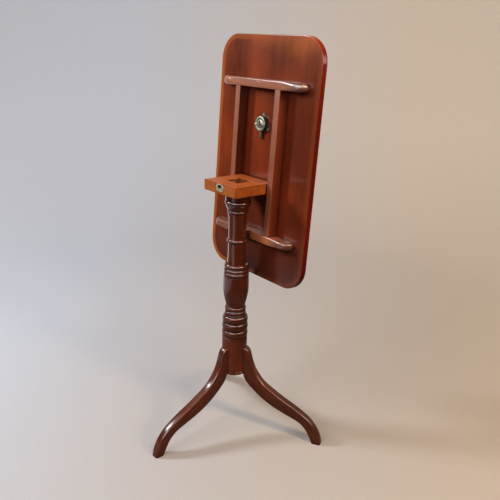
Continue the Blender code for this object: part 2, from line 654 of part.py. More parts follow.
def catch_screw_frames():
    frames = {}
    for name, angle in CATCH_EAR_BEARINGS.items():
        turn = math.radians(angle)
        x, y = CATCH_EAR_REACH * math.cos(turn), CATCH_EAR_REACH * math.sin(turn)
        face = SEAT_GAP + CATCH_PLATE_THICKNESS
        frames[name] = catch_frame() @ Matrix.Translation((x, y, face)) @ Matrix.Diagonal((1, -1, -1, 1))
    return frames


def make_catch_plate(brass, hinge):
    outline = []
    for angle in CATCH_EAR_BEARINGS.values():
        turn = math.radians(angle)
        centre = (CATCH_EAR_REACH * math.cos(turn), CATCH_EAR_REACH * math.sin(turn))
        outline += arc(centre, CATCH_EAR_RADIUS, angle - 60, angle + 60, ROUND_STEPS * 2)
    bm = prism(outline, SEAT_GAP, SEAT_GAP + CATCH_PLATE_THICKNESS)
    plate = add_piece("catch_plate", bm, brass, hinge, catch_frame())
    for name, frame in catch_screw_frames().items():
        drill(plate, PLATE_SCREW_HEAD, PLATE_SCREW_SHANK, PLATE_SCREW_LENGTH, CUT_OVERRUN, frame)
        name = "catch_screw_" + name
        make_screw(name, PLATE_SCREW_HEAD, PLATE_SCREW_SHANK, PLATE_SCREW_LENGTH, brass, frame, hinge)


def case_heights():
    """Rim and face of the catch's case, measured out from the underside."""
    rim = SEAT_GAP * 2 + CATCH_PLATE_THICKNESS
    return rim, rim + CATCH_CASE_DEPTH


def make_catch_case(brass, hinge):
    rim, face = case_heights()
    inner = CATCH_CASE_RADIUS - CATCH_CASE_WALL
    edge = CATCH_CASE_WALL / 2
    ceiling = face - CATCH_CASE_WALL
    outline = [(0.0, face), (CATCH_CASE_RADIUS - edge, face), (CATCH_CASE_RADIUS, face - edge),
               (CATCH_CASE_RADIUS, rim), (inner, rim), (inner, ceiling), (0.0, ceiling)]
    case = add_piece("catch_case", turned(outline, CATCH_CASE_SIDES), brass, hinge, catch_frame())
    window = box(BOLT_WIDTH + HOLE_GAP * 2, CATCH_CASE_RADIUS, BOLT_THICKNESS + HOLE_GAP * 2)
    place = catch_frame() @ Matrix.Translation((0, CATCH_CASE_RADIUS, BOLT_DROP))
    combine(case, window, "DIFFERENCE", place)
    stem = KNOB_STEM_RADIUS + HOLE_GAP * 2
    slot = box(stem * 2, BOLT_TRAVEL + stem * 2, CATCH_CASE_DEPTH)
    combine(case, slot, "DIFFERENCE", catch_frame() @ Matrix.Translation((0, -BOLT_TRAVEL / 2, face)))


def make_catch_spring(steel, hinge):
    """The bolt's spring at the length it has when the bolt is drawn back."""
    wall = (CATCH_CASE_RADIUS - CATCH_CASE_WALL) * math.cos(math.pi / CATCH_CASE_SIDES)
    start = SEAT_GAP - math.sqrt(wall**2 - SPRING_RADIUS**2)
    end = -BOLT_TAIL - BOLT_TRAVEL - SEAT_GAP
    bore = SPRING_RADIUS - SPRING_WALL
    outline = [(SPRING_RADIUS, start), (SPRING_RADIUS, end), (bore, end), (bore, start)]
    place = catch_frame() @ Matrix.Translation((0, 0, BOLT_DROP))
    along_bolt = Matrix.Rotation(math.radians(-90), 4, "X")
    add_piece("catch_spring", turned(outline, SCREW_SIDES), steel, hinge, place @ along_bolt)


def make_bolt_empty(hinge):
    """Carries the bolt and its knob, which slide along this frame's Y."""
    slide = bpy.data.objects.new("bolt_slide", None)
    bpy.context.collection.objects.link(slide)
    slide.parent = hinge
    slide.matrix_basis = catch_frame()
    return slide


def make_bolt(steel, brass, slide):
    low, high = BOLT_DROP - BOLT_THICKNESS / 2, BOLT_DROP + BOLT_THICKNESS / 2
    tip = CATCH_STANDOFF + BOLT_ENGAGEMENT
    bevel = BOLT_THICKNESS * BOLT_BEVEL_SHARE
    outline = [(-BOLT_TAIL, low), (tip, low), (tip, high - bevel), (tip - bevel, high), (-BOLT_TAIL, high)]
    blank = prism(outline, -BOLT_WIDTH / 2, BOLT_WIDTH / 2)
    bolt = add_piece("catch_bolt", blank, steel, slide, along_x())
    wide = KNOB_TANG_RADIUS + HOLE_GAP
    ends = low - CUT_OVERRUN, high + CUT_OVERRUN
    hole = [(0.0, ends[0]), (wide, ends[0]), (wide, ends[1]), (0.0, ends[1])]
    combine(bolt, turned(hole, SCREW_SIDES), "DIFFERENCE")
    stem_start = high + SEAT_GAP
    head_start = case_heights()[1] + KNOB_STAND - KNOB_HEAD_RADIUS * 2
    knob = [(0.0, low), (KNOB_TANG_RADIUS, low), (KNOB_TANG_RADIUS, stem_start),
            (KNOB_STEM_RADIUS, stem_start), (KNOB_STEM_RADIUS, head_start)]
    for step in range(2, ROUND_STEPS * 2 + 1):
        turn = math.pi / 2 * step / ROUND_STEPS
        height = head_start + KNOB_HEAD_RADIUS * (1 - math.cos(turn))
        knob.append((KNOB_HEAD_RADIUS * math.sin(turn), height))
    knob[-1] = (0.0, knob[-1][1])
    add_piece("catch_knob", turned(knob, SCREW_SIDES), brass, slide)


def build():
    clear_scene()
    carcase_wood = make_material("mahogany_top", (0.175, 0.040, 0.016), 0.32, 0.0)
    turned_wood = make_material("mahogany_stand", (0.070, 0.016, 0.008), 0.25, 0.0)
    block_wood = make_material("mahogany_block", (0.420, 0.130, 0.045), 0.40, 0.0)
    brass = make_material("patinated_brass", (0.300, 0.310, 0.200), 0.40, 1.0)
    steel = make_material("dark_steel", (0.060, 0.055, 0.050), 0.45, 1.0)
    iron = make_material("wrought_iron", (0.050, 0.045, 0.042), 0.60, 1.0)
    make_column(turned_wood)
    make_wedge(turned_wood)
    for side, bearing in LEG_BEARINGS.items():
        make_leg(side, bearing, turned_wood)
    make_strap(iron)
    make_block(block_wood)
    make_striker(brass)
    hinge = make_hinge_empty()
    make_top(carcase_wood, hinge)
    make_battens(carcase_wood, hinge)
    make_bearers(carcase_wood, hinge)
    make_frame_screws(iron, carcase_wood, hinge)
    make_catch_plate(brass, hinge)
    make_catch_case(brass, hinge)
    make_catch_spring(steel, hinge)
    make_bolt(steel, brass, make_bolt_empty(hinge))


build()
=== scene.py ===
# %% [markdown]
# # A mahogany table with a tipping top
# The object is a small tripod table of about two hundred years ago. Its top turns on two pintles of the
# block, and it stands here with the top tipped up, so that the underside and its catch show. We start from
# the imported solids, which carry the sizes and the joints, and dress them: finer turning, softened arrises,
# French-polished wood and old brass. Nothing is moved, so the looks and the motion stay in one frame.

# %% Load the frame that everything is fitted to
import json
import math

import bmesh
import bpy
from mathutils import Matrix, Vector


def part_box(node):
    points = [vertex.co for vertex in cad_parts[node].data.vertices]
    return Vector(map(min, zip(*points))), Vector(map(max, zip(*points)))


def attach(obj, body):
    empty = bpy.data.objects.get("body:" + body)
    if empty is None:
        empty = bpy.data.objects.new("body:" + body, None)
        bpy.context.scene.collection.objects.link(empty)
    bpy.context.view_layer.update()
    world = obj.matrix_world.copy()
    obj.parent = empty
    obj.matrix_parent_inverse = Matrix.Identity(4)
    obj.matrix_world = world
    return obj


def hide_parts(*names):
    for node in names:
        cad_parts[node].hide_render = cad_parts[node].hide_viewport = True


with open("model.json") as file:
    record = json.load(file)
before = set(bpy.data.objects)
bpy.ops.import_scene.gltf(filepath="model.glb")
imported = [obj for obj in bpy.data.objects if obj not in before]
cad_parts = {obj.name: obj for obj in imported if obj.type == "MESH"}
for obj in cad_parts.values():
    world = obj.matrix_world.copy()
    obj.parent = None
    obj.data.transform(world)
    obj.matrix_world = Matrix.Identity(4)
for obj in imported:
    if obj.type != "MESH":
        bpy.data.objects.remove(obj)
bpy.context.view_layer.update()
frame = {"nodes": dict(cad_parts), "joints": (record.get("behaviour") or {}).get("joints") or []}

# %% [markdown]
# The joiner thinks of the top as lying flat, and so do we: each piece of the top is drawn in the closed
# table's own frame, with z = 0 on the hinge, and one matrix tips it up to where the solids stand. Lengths
# are in millimetres, as at the bench, and MM makes them metres.

# %% The frames the pieces are drawn in
MM = 0.001
tilt = next(joint for joint in frame["joints"] if joint["name"] == "top_tilt")
hinge = Vector(tilt["pos_m"])
tipped = Matrix.Translation(hinge) @ Matrix.Rotation(-math.radians(tilt["range_deg"][1]), 4, "X")


def middle_of(node):
    low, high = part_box(node)
    return (low + high) / 2


def direction(azimuth, elevation=0):
    """From the table towards a place round it. Azimuth 0 is in front of the table and 90 at its right."""
    a, e = math.radians(azimuth), math.radians(elevation)
    return Vector((math.sin(a) * math.cos(e), -math.cos(a) * math.cos(e), math.sin(e)))


column_axis = middle_of("strap_plate").to_2d().to_3d()
column_axis.y = middle_of("strap_screw_centre").y
catch_middle = tipped.inverted() @ middle_of("catch_case")
print("hinge at", [round(v, 4) for v in hinge], "column axis at y", round(column_axis.y, 4))

# %% [markdown]
# A few small tools make nearly all the shapes. A turner needs a lathe, a joiner needs a saw that follows an
# outline, and both need to cut one shape out of another. Underneath, lathe and saw do the same: they
# stretch a skin over rings of points. After that a fine bevel takes the sharpness off every arris, as
# sandpaper and two centuries of hands do; without it an edge never catches the light.

# %% Tools for making pieces
LATHE_SIDES, PEG_SIDES, SMALL_SIDES = 96, 48, 40


def smooth_line(points, steps):
    """A curve through the points (Catmull-Rom), in even steps between each two."""
    padded = [points[0], *points, points[-1]]
    line = []
    for before, start, end, after in zip(padded, padded[1:], padded[2:], padded[3:]):
        for step in range(steps):
            t = step / steps
            line.append(tuple(
                (2 * b + (c - a) * t + (2 * a - 5 * b + 4 * c - d) * t**2
                 + (3 * b - a - 3 * c + d) * t**3) / 2
                for a, b, c, d in zip(before, start, end, after)))
    return line + [points[-1]]


def arc(middle, radius, start, end, steps):
    """Points on an arc from one angle to another, in degrees."""
    turns = [math.radians(start + (end - start) * step / steps) for step in range(steps + 1)]
    return [(middle[0] + radius * math.cos(turn), middle[1] + radius * math.sin(turn)) for turn in turns]


def rounded_rectangle(half_x, half_y, radius, steps, lower_radius=None):
    """Points round a rectangle with rounded corners. The lower two can have a radius of their own."""
    outline = []
    for side_x, side_y, start in ((1, 1, 0), (-1, 1, 90), (-1, -1, 180), (1, -1, 270)):
        corner = radius if side_y > 0 or lower_radius is None else lower_radius
        middle = side_x * (half_x - corner), side_y * (half_y - corner)
        outline += arc(middle, corner, start, start + 90, steps)
    return outline


def lofted(sections, caps=(0, -1)):
    """Stretches a skin over rings of points, in metres, and fills its caps. Without caps it joins up."""
    bm = bmesh.new()
    rings = [[bm.verts.new(point) for point in section] for section in sections]
    for near, far in zip(rings, rings[1:] if caps else rings[1:] + rings[:1]):
        for i in range(len(near)):
            bm.faces.new((near[i - 1], near[i], far[i], far[i - 1]))
    for end in caps:
        bm.faces.new(rings[end])
    return bm


def turned(outline, sides, caps=(0, -1)):
    """Turns an outline of (radius, height) points, in millimetres, on the Z axis."""
    angles = [math.tau * side / sides for side in range(sides)]
    return lofted([[(radius * MM * math.cos(a), radius * MM * math.sin(a), height * MM) for a in angles]
                   for radius, height in outline], caps)


def sawn(outline, low, high):
    """Extrudes an outline of (x, y) points from z = low to z = high, all in millimetres."""
    return lofted([[(x * MM, y * MM, z * MM) for x, y in outline] for z in (low, high)])


def plank(low, high):
    """A squared piece between two corners, in millimetres."""
    (x0, y0, z0), (x1, y1, z1) = low, high
    return sawn([(x0, y0), (x1, y0), (x1, y1), (x0, y1)], z0, z1)


def placed(bm, matrix):
    bmesh.ops.transform(bm, matrix=matrix, verts=bm.verts)
    return bm


def finished_mesh(name, bm):
    bmesh.ops.recalc_face_normals(bm, faces=bm.faces)
    mesh = bpy.data.meshes.new(name)
    bm.to_mesh(mesh)
    bm.free()
    return mesh


def linked(name, data):
    """Makes an object and puts it in the scene."""
    thing = bpy.data.objects.new(name, data)
    bpy.context.collection.objects.link(thing)
    return thing


def carve(bm, *cutters):
    """Cuts the cutters out of a shape and gives the shape back."""
    blank = linked("blank", finished_mesh("blank", bm))
    tools = [linked("cutter", finished_mesh("cutter", cutter)) for cutter in cutters]
    for tool in tools:
        cut = blank.modifiers.new("cut", "BOOLEAN")
        cut.object, cut.operation, cut.solver = tool, "DIFFERENCE", "EXACT"
    carved = bmesh.new()
    carved.from_object(blank, bpy.context.evaluated_depsgraph_get())
    for thing in [blank, *tools]:
        bpy.data.objects.remove(thing)
    return carved


def add_piece(name, bm, body, nodes, arris=0.0, sharp=35):
    """Makes a piece with eased arrises, riding on a body in place of the CAD nodes that it stands for."""
    mesh = finished_mesh(name, bm)
    mesh.shade_smooth()
    mesh.set_sharp_from_angle(angle=math.radians(sharp))
    piece = linked(name, mesh)
    if arris:
        ease = piece.modifiers.new("eased arris", "BEVEL")
        ease.width, ease.segments = arris * MM, 3
        ease.limit_method = "ANGLE"
        ease.angle_limit = math.radians(sharp)
        ease.harden_normals = True
    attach(piece, body)
    if nodes:
        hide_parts(*nodes)
    print(f"{name}: {len(mesh.polygons)} faces, stands for {', '.join(nodes) or 'no node'}")
    return piece


# %% [markdown]
# ## The column
# A turner names the parts of a column as beads, hollows, fillets and reeds. We write it as a list from the
# foot up. Each member says how high it ends and how thick it is there; a bead also says how far its crest
# swells, and a long outward curve is marked as a swell. A lathe profile is the right way to make it, since
# the real one was made so. The grooves between the beads stay sharp, which gives the crisp rings of light.

# %% Turn the column
COLUMN_MEMBERS = [
    (171.0, 32.6), (172.5, 33.1), (176.4, 33.1), (177.4, 32.2), (178.8, 32.2), (179.8, 33.1),
    (215.0, 33.4), (250.1, 33.7), (271.4, 33.9), (272.4, 32.6), (274.0, 32.6), (275.0, 33.9),
    (279.6, 33.3), (280.6, 31.4), (298.6, 31.4, 34.8), (300.2, 31.0), (320.6, 31.0, 34.8), (322.2, 30.8),
    (341.0, 29.8, 34.3), (342.4, 26.2), (343.6, 25.6), (355.0, 25.8, 28.4), (356.0, 25.4),
    (367.0, 25.6, 28.5), (368.0, 25.3), (370.4, 25.3), (425.0, 34.1, "swell"), (439.5, 34.1),
    (453.0, 33.4), (454.4, 31.3), (464.3, 31.1, 33.4), (465.2, 30.7), (474.6, 30.6, 33.1), (475.6, 30.2),
    (487.6, 29.2, 32.8), (488.6, 25.0), (491.0, 24.6), (509.0, 23.9), (526.0, 23.6), (544.6, 23.4),
    (545.6, 24.2), (555.4, 24.0, 27.1), (556.4, 23.0), (572.0, 22.9), (591.0, 22.9), (604.0, 23.0),
    (616.4, 23.4), (617.2, 24.6), (623.6, 24.8), (624.4, 25.4), (631.0, 25.6, 27.2),
    (645.6, 31.0, "swell"), (646.4, 30.6), (656.6, 31.0, 34.0), (657.4, 31.2), (658.4, 32.6),
    (680.3, 33.2),
]
COLUMN_START = (31.8, 170.0)
BEAD_STEPS, SWELL_STEPS = 14, 18


def column_outline(members, start):
    radius, height = start
    outline = [start]
    for top, end, *crest in members:
        if crest == ["swell"]:
            for step in range(1, SWELL_STEPS + 1):
                share = step / SWELL_STEPS
                outline.append((radius + (end - radius) * math.sin(share * math.pi / 2),
                                height + (top - height) * share))
        elif crest:
            for step in range(1, BEAD_STEPS + 1):
                turn = math.pi * step / BEAD_STEPS
                root = radius + (end - radius) * step / BEAD_STEPS
                swell = (crest[0] - (radius + end) / 2) * math.sin(turn)
                outline.append((root + swell, height + (top - height) * (1 - math.cos(turn)) / 2))
        else:
            outline.append((end, top))
        radius, height = end, top
    return outline


column_place = Matrix.Translation(column_axis)
turning = placed(turned(column_outline(COLUMN_MEMBERS, COLUMN_START), LATHE_SIDES), column_place)
column = add_piece("turned_column", turning, "stand", ["column"], sharp=28)

# %% [markdown]
# The column ends in a square tenon that goes up through the block and shows as the small dark square in its
# middle. It is split by a wedge. The tenon is the top of the column's own wood, so it gets the same finish.

# %% Cut the tenon and its kerf
block_low, block_high = (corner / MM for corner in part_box("top_block"))
wedge_low, wedge_high = (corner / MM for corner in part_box("tenon_wedge"))
TENON_HALF, TENON_FOOT, WEDGE_GAP = 19.5, 680.0, 0.1
tenon_top = wedge_high.z
square = plank((-TENON_HALF, -TENON_HALF, TENON_FOOT), (TENON_HALF, TENON_HALF, tenon_top))
kerf_half = (wedge_high.y - wedge_low.y) / 2 + WEDGE_GAP
kerf = plank((-TENON_HALF - 1, -kerf_half, wedge_low.z), (TENON_HALF + 1, kerf_half, tenon_top + 1))
tenon = add_piece("column_tenon", placed(carve(square, kerf), column_place), "stand", [])
print("tenon ends", round(block_high.z - tenon_top, 1), "mm below the block's face")

# %% [markdown]
# ## The legs
# Each leg is sawn from a plank to a long S and then rounded by hand, more above than below. We could
# extrude the outline, but a section carried along the leg gives clean, even faces and lets us say how much
# each arris is rounded. Lights run along a leg on its rounded arrises, so their width decides how the leg
# shines. The shoulder is then scribed to the round of the column, as the joiner does with a gouge.

# %% Shape a leg and set three of them round the column
LEG_UPPER = [(28.7, 250.0), (36.5, 248.8), (44.8, 238.8), (52.9, 210.0), (63.9, 184.0), (87.1, 154.0),
             (117.1, 133.0), (150.9, 113.0), (178.1, 99.0), (208.0, 81.0), (229.4, 64.0), (246.4, 42.5),
             (256.8, 19.0), (260.7, 0.0)]
LEG_LOWER = [(28.7, 176.3), (33.9, 163.7), (42.0, 147.1), (63.9, 125.0), (92.0, 103.0), (125.9, 84.0),
             (166.1, 68.0), (194.2, 57.0), (213.8, 41.3), (226.3, 21.3), (236.7, 0.0)]
LEG_HALF, LEG_ROUNDING, LOWER_ROUNDING = 11.25, 5.0, 3.5
LEG_STATIONS, CURVE_STEPS, ARRIS_STEPS = 90, 8, 4
LEG_BEARINGS = {"front": 0, "right": 120, "left": 240}
POST_RADIUS, POST_ENDS = 33.75, (-5, 260)


def evenly(points, count):
    """The same line with its points at even distances."""
    lengths = [0.0]
    for a, b in zip(points, points[1:]):
        lengths.append(lengths[-1] + math.dist(a, b))
    line, i = [], 0
    for step in range(count):
        goal = lengths[-1] * step / (count - 1)
        while i < len(points) - 2 and lengths[i + 1] < goal:
            i += 1
        share = (goal - lengths[i]) / (lengths[i + 1] - lengths[i])
        line.append(tuple(a + (b - a) * share for a, b in zip(points[i], points[i + 1])))
    return line


def leg_section(upper, lower):
    """Points round a leg at one station, between a point of its upper and one of its lower line."""
    rise = Vector((upper[0] - lower[0], 0, upper[1] - lower[1]))
    half_depth = rise.length / 2
    rise.normalize()
    middle = Vector(((upper[0] + lower[0]) / 2, 0, (upper[1] + lower[1]) / 2))
    outline = rounded_rectangle(LEG_HALF, half_depth, LEG_ROUNDING, ARRIS_STEPS, LOWER_ROUNDING)
    return [(middle + rise * z + Vector((0, y, 0))) * MM for y, z in outline]


def leg_blank():
    upper = evenly(smooth_line(LEG_UPPER, CURVE_STEPS), LEG_STATIONS)
    lower = evenly(smooth_line(LEG_LOWER, CURVE_STEPS), LEG_STATIONS)
    return lofted([leg_section(*station) for station in zip(upper, lower)])


several = []
for side, bearing in LEG_BEARINGS.items():
    post = turned([(POST_RADIUS, height) for height in POST_ENDS], LATHE_SIDES)
    leg_place = column_place @ Matrix.Rotation(math.radians(bearing - 90), 4, "Z")
    shaped = placed(carve(leg_blank(), post), leg_place)
    several.append(add_piece(f"shaped_leg_{side}", shaped, "stand", [f"leg_{side}"]))

# %% [markdown]
# ## The block
# The block is the lighter, less polished piece on the column. Its back edge is rounded so that the top can
# swing over it, and two round pintles go into the bearers. A square mortise takes the column's tenon, and a
# shallow seat in front takes the striker plate. Behind the plate a small mouth lets the bolt in. It is cut
# a little larger than the bolt needs, because that is how it looks in the photograph.

# %% Make the block
BLOCK_HALF, MORTISE_HALF, SEAT_GAP = 62.8, 19.8, 0.2
STRIKER_HALF_WIDTH, STRIKER_HEIGHT, STRIKER_CORNER = 14.5, 19.0, 6.0
MOUTH_HALF, MOUTH_HEIGHT, MOUTH_DEPTH = 6.4, 8.0, 6.5
mouth_middle = block_high.z - 7.8
hinge_y, hinge_z = hinge.y / MM, hinge.z / MM
block_face, block_back = block_high.z - hinge_z, block_high.y - hinge_y
striker_low, striker_high = (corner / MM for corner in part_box("striker_plate"))


def bolt_mouth(front, back):
    """A cutter for the bolt's mouth, from one y to another."""
    return plank((-MOUTH_HALF, front, mouth_middle - MOUTH_HEIGHT / 2),
                 (MOUTH_HALF, back, mouth_middle + MOUTH_HEIGHT / 2))


round_end = math.degrees(math.acos(min(1.0, block_back / block_face)))
block_side = [(block_low.y, block_low.z), (block_low.y, block_high.z),
              *arc((hinge_y, hinge_z), block_face, 90, round_end, 16), (block_high.y, block_low.z)]
along_x = Matrix(((0, 0, 1, 0), (1, 0, 0, 0), (0, 1, 0, 0), (0, 0, 0, 1)))
blank = placed(sawn(block_side, -BLOCK_HALF, BLOCK_HALF), along_x)
column_y = column_axis.y / MM
mortise = plank((-MORTISE_HALF, column_y - MORTISE_HALF, block_low.z - 2),
                (MORTISE_HALF, column_y + MORTISE_HALF, block_high.z + 2))
seat = plank((-STRIKER_HALF_WIDTH - SEAT_GAP, block_low.y - 2, striker_low.z - SEAT_GAP),
             (STRIKER_HALF_WIDTH + SEAT_GAP, striker_high.y + SEAT_GAP / 2, striker_high.z + SEAT_GAP))
cutters = mortise, seat, bolt_mouth(block_low.y - 2, block_low.y + MOUTH_DEPTH)
block = add_piece("hinge_block", carve(blank, *cutters), "stand", ["top_block"], arris=0.9)

PINTLE_LINE = [(5.4, -76.6), (6.0, -76.0), (6.0, 76.0), (5.4, 76.6)]
crosswise = Matrix.Rotation(math.radians(90), 4, "Y")
rod = placed(turned(PINTLE_LINE, PEG_SIDES), Matrix.Translation(hinge) @ crosswise)
pintles = add_piece("block_pintles", rod, "stand", [], sharp=180)

# %% [markdown]
# ## The top
# The board is one wide plank with rounded corners. Its lower arris is only eased, and shows as the thin
# light line round the upper right corner. The upper edge, which faces away here, is softly rounded. We loft
# one rounded rectangle into the next. An extra ring just inside the arris keeps the flat face flat when it
# is shaded smooth.

# %% Make the board
TOP_HALF_WIDTH, TOP_HALF_LENGTH, TOP_CORNER = 184.0, 305.0, 62.0
UNDERSIDE, BOARD_MIDDLE_Y = 10.8, -55.7
BOARD_SECTION = [(2.4, 0.0), (1.2, 0.0), (0.74, 0.09), (0.35, 0.35), (0.09, 0.74), (0.0, 1.2), (0.0, 2.4),
                 (0.0, 11.8), (0.0, 13.0), (0.3, 14.5), (1.2, 15.8), (2.5, 16.7), (4.0, 17.0), (6.0, 17.0)]
rings = []
for inset, height in BOARD_SECTION:
    outline = rounded_rectangle(TOP_HALF_WIDTH - inset, TOP_HALF_LENGTH - inset, TOP_CORNER - inset, 24)
    rings.append([(x * MM, (BOARD_MIDDLE_Y + y) * MM, (UNDERSIDE + height) * MM) for x, y in outline])
board = add_piece("top_board", placed(lofted(rings), tipped), "top", ["table_top"], sharp=60)

# %% [markdown]
# Two battens run across the underside to keep the board flat. Their ends are rounded both ways, like a
# thumb: half round in plan, and a quarter round in side view. The outer arrises are rounded more and more
# towards the ends, and that is where the long cool highlight sits. A bevel tool can't do that, so we carry
# a section along the batten and let its width, depth and rounding change towards the ends.

# %% Shape the battens
FRAME_DEPTH, BATTEN_HALF, BATTEN_SIDE, BATTEN_END = 28.8, 150.0, 10.25, 27.0
BATTEN_ARRIS, THUMB_ARRIS, THUMB_LENGTH = 2.6, 8.5, 62.0
BATTEN_PLACES = {"upper": -245.7, "lower": 134.3}
SHRINKAGE = 0.3
frame_back = UNDERSIDE - SHRINKAGE
frame_face = frame_back - FRAME_DEPTH


def batten_section(x):
    """Points round a batten at one place along it: square against the board, rounded on its outer arrises."""
    left = BATTEN_HALF - abs(x)
    side = BATTEN_SIDE * math.sqrt(1 - max(0.0, 1 - left / BATTEN_SIDE) ** 2)
    depth = FRAME_DEPTH * math.sqrt(1 - max(0.0, 1 - left / BATTEN_END) ** 2)
    thumb = math.sin(max(0.0, 1 - left / THUMB_LENGTH) * math.pi / 2)
    arris = min(BATTEN_ARRIS + (THUMB_ARRIS - BATTEN_ARRIS) * thumb, 0.9 * side, 0.9 * depth)
    points = [(side, 0.0), *arc((side - arris, depth - arris), arris, 0, 90, 8)]
    points += [(-y, z) for y, z in reversed(points)]
    return [Vector((x, y, frame_back - z)) * MM for y, z in points]


near_end = [x for x, y in arc((BATTEN_HALF - BATTEN_END, 0.0), BATTEN_END, 4.5, 90, 19)]
right_half = [BATTEN_HALF - 0.02, *near_end, 117.0, 110.0, 102.0, 94.0, 88.0, 50.0]
stations = right_half + [0.0] + [-x for x in reversed(right_half)]
for side, batten_y in BATTEN_PLACES.items():
    shaped = placed(lofted([batten_section(x) for x in stations]),
                    tipped @ Matrix.Translation((0, batten_y * MM, 0)))
    several.append(add_piece(f"cross_batten_{side}", shaped, "top", [f"batten_{side}"],
                             sharp=50))

# %% [markdown]
# The two bearers between the battens are plain planks, so all their looks come from the eased arrises and
# the grain. The block's pintles go into holes in their inner sides.

# %% Make the bearers
BEARER_INNER, BEARER_OUTER, BEARER_TOP, BEARER_FOOT = 65.3, 83.1, -235.15, 123.75
SOCKET_LINE = [(6.3, -77.0), (6.3, 77.0)]
for side, sign in (("left", -1), ("right", 1)):
    near, far = sorted((sign * BEARER_INNER, sign * BEARER_OUTER))
    blank = plank((near, BEARER_TOP, frame_face), (far, BEARER_FOOT, frame_back))
    socket = placed(turned(SOCKET_LINE, PEG_SIDES), crosswise)
    bored = placed(carve(blank, socket), tipped)
    several.append(add_piece(f"long_bearer_{side}", bored, "top", [f"bearer_{side}"],
                             arris=1.4))

# %% [markdown]
# The screws that hold the frame are sunk, and each hole is closed with a small disc of the same wood. Old
# pellets stand a hair proud, because the wood round them has shrunk, so they show only as faint rings close
# by.

# %% Close the screw holes with pellets
PELLET_LINE = [(5.3, 0.6), (5.3, -0.02), (5.0, -0.14), (3.0, -0.2), (0.6, -0.2)]
for node in sorted(name for name in frame["nodes"] if name.startswith("plug_")):
    centre = tipped.inverted() @ middle_of(node)
    pellet_place = tipped @ Matrix.Translation((centre.x, centre.y, frame_face * MM))
    disc = placed(turned(PELLET_LINE, SMALL_SIDES), pellet_place)
    several.append(add_piece(node.replace("plug_", "pellet_"), disc, "top", [node]))

# %% [markdown]
# ## The catch
# A round brass case on a plate with three ears holds a spring bolt. When the top comes down, the bolt snaps
# into the striker on the block. The knob on its stem draws the bolt back. The case was turned too: a flat
# rim, a groove, and a low dome in the middle. The bolt leaves it by a door in its side, and the stem by a
# slot in its face.

# %% Turn the catch's case and cut its openings
CASE_RADIUS, CASE_INSIDE, CASE_RIM, CASE_FACE, CASE_CEILING = 19.0, 17.8, 2.1, 12.3, 11.1
BOLT_LEVEL, BOLT_TRAVEL = 6.0, 6.0
DOOR_HALF, DOOR_HALF_HEIGHT = 4.8, 1.8
CASE_LINE = [(CASE_INSIDE, CASE_RIM), (CASE_RADIUS, CASE_RIM), (CASE_RADIUS, 3.2), (18.7, 3.7), (18.7, 10.9),
             (18.3, 11.9), (17.5, CASE_FACE), (12.9, CASE_FACE), (12.3, 12.0), (11.8, 11.2), (11.2, 11.1),
             (10.7, 11.6), (9.8, 12.3), (7.6, 13.0), (4.4, 13.5), (0.8, 13.6), (0.8, CASE_CEILING),
             (CASE_INSIDE, CASE_CEILING)]
facing_out = Matrix.Diagonal((-1, 1, -1, 1))
catch_place = tipped @ Matrix.Translation((0, catch_middle.y, UNDERSIDE * MM)) @ facing_out
door = plank((-DOOR_HALF, 10.0, BOLT_LEVEL - DOOR_HALF_HEIGHT),
             (DOOR_HALF, 22.0, BOLT_LEVEL + DOOR_HALF_HEIGHT))
stem_slot = sawn([(x, y - BOLT_TRAVEL / 2) for x, y in rounded_rectangle(2.8, 5.8, 2.79, 8)], 10.0, 15.0)
drum = carve(turned(CASE_LINE, LATHE_SIDES, caps=()), door, stem_slot)
case = add_piece("catch_drum", placed(drum, catch_place), "top", ["catch_case"], sharp=40)

# %% Cut the plate with its three ears
EAR_BEARINGS, EAR_REACH, EAR_RADIUS = (30, 150, 270), 22.5, 6.5
PLATE_BACK, PLATE_FACE, SINK_RADIUS = 0.3, 1.8, 2.85


def screw_sink(hole, bottom, neck, face, top):
    """A cutter for a countersunk screw: a hole, then a cone that opens to the head."""
    return turned([(hole, bottom), (hole, neck), (SINK_RADIUS, face), (SINK_RADIUS, top)], SMALL_SIDES)


ears, sinks = [], []
for angle in EAR_BEARINGS:
    turn = math.radians(angle)
    x, y = EAR_REACH * math.cos(turn), EAR_REACH * math.sin(turn)
    ears += arc((x, y), EAR_RADIUS, angle - 60, angle + 60, 16)
    sinks.append(placed(screw_sink(1.6, -1.0, 0.6, 1.85, 3.0), Matrix.Translation((x * MM, y * MM, 0))))
shaped = placed(carve(sawn(ears, PLATE_BACK, PLATE_FACE), *sinks), catch_place)
plate = add_piece("catch_base", shaped, "top", ["catch_plate"], arris=0.35)

# %% [markdown]
# The knob and the spring are small turned and wound things. The spring hides in the case, but a part that
# is opened or cut through should be true inside, so it is wound as a real coil.

# %% Turn the knob and wind the spring
BALL_RADIUS, BALL_HEIGHT = 4.5, 22.8
knob_line = [(1.5, 4.5), (1.5, 7.8), (2.2, 7.8), (2.2, 15.5), (1.7, 16.3), (1.6, 17.4), (2.2, 18.3),
             *arc((0.0, BALL_HEIGHT), BALL_RADIUS, -62, 87, 12)]
shaped = placed(turned(knob_line, SMALL_SIDES), catch_place)
knob = add_piece("pull_knob", shaped, "bolt", ["catch_knob"], sharp=50)

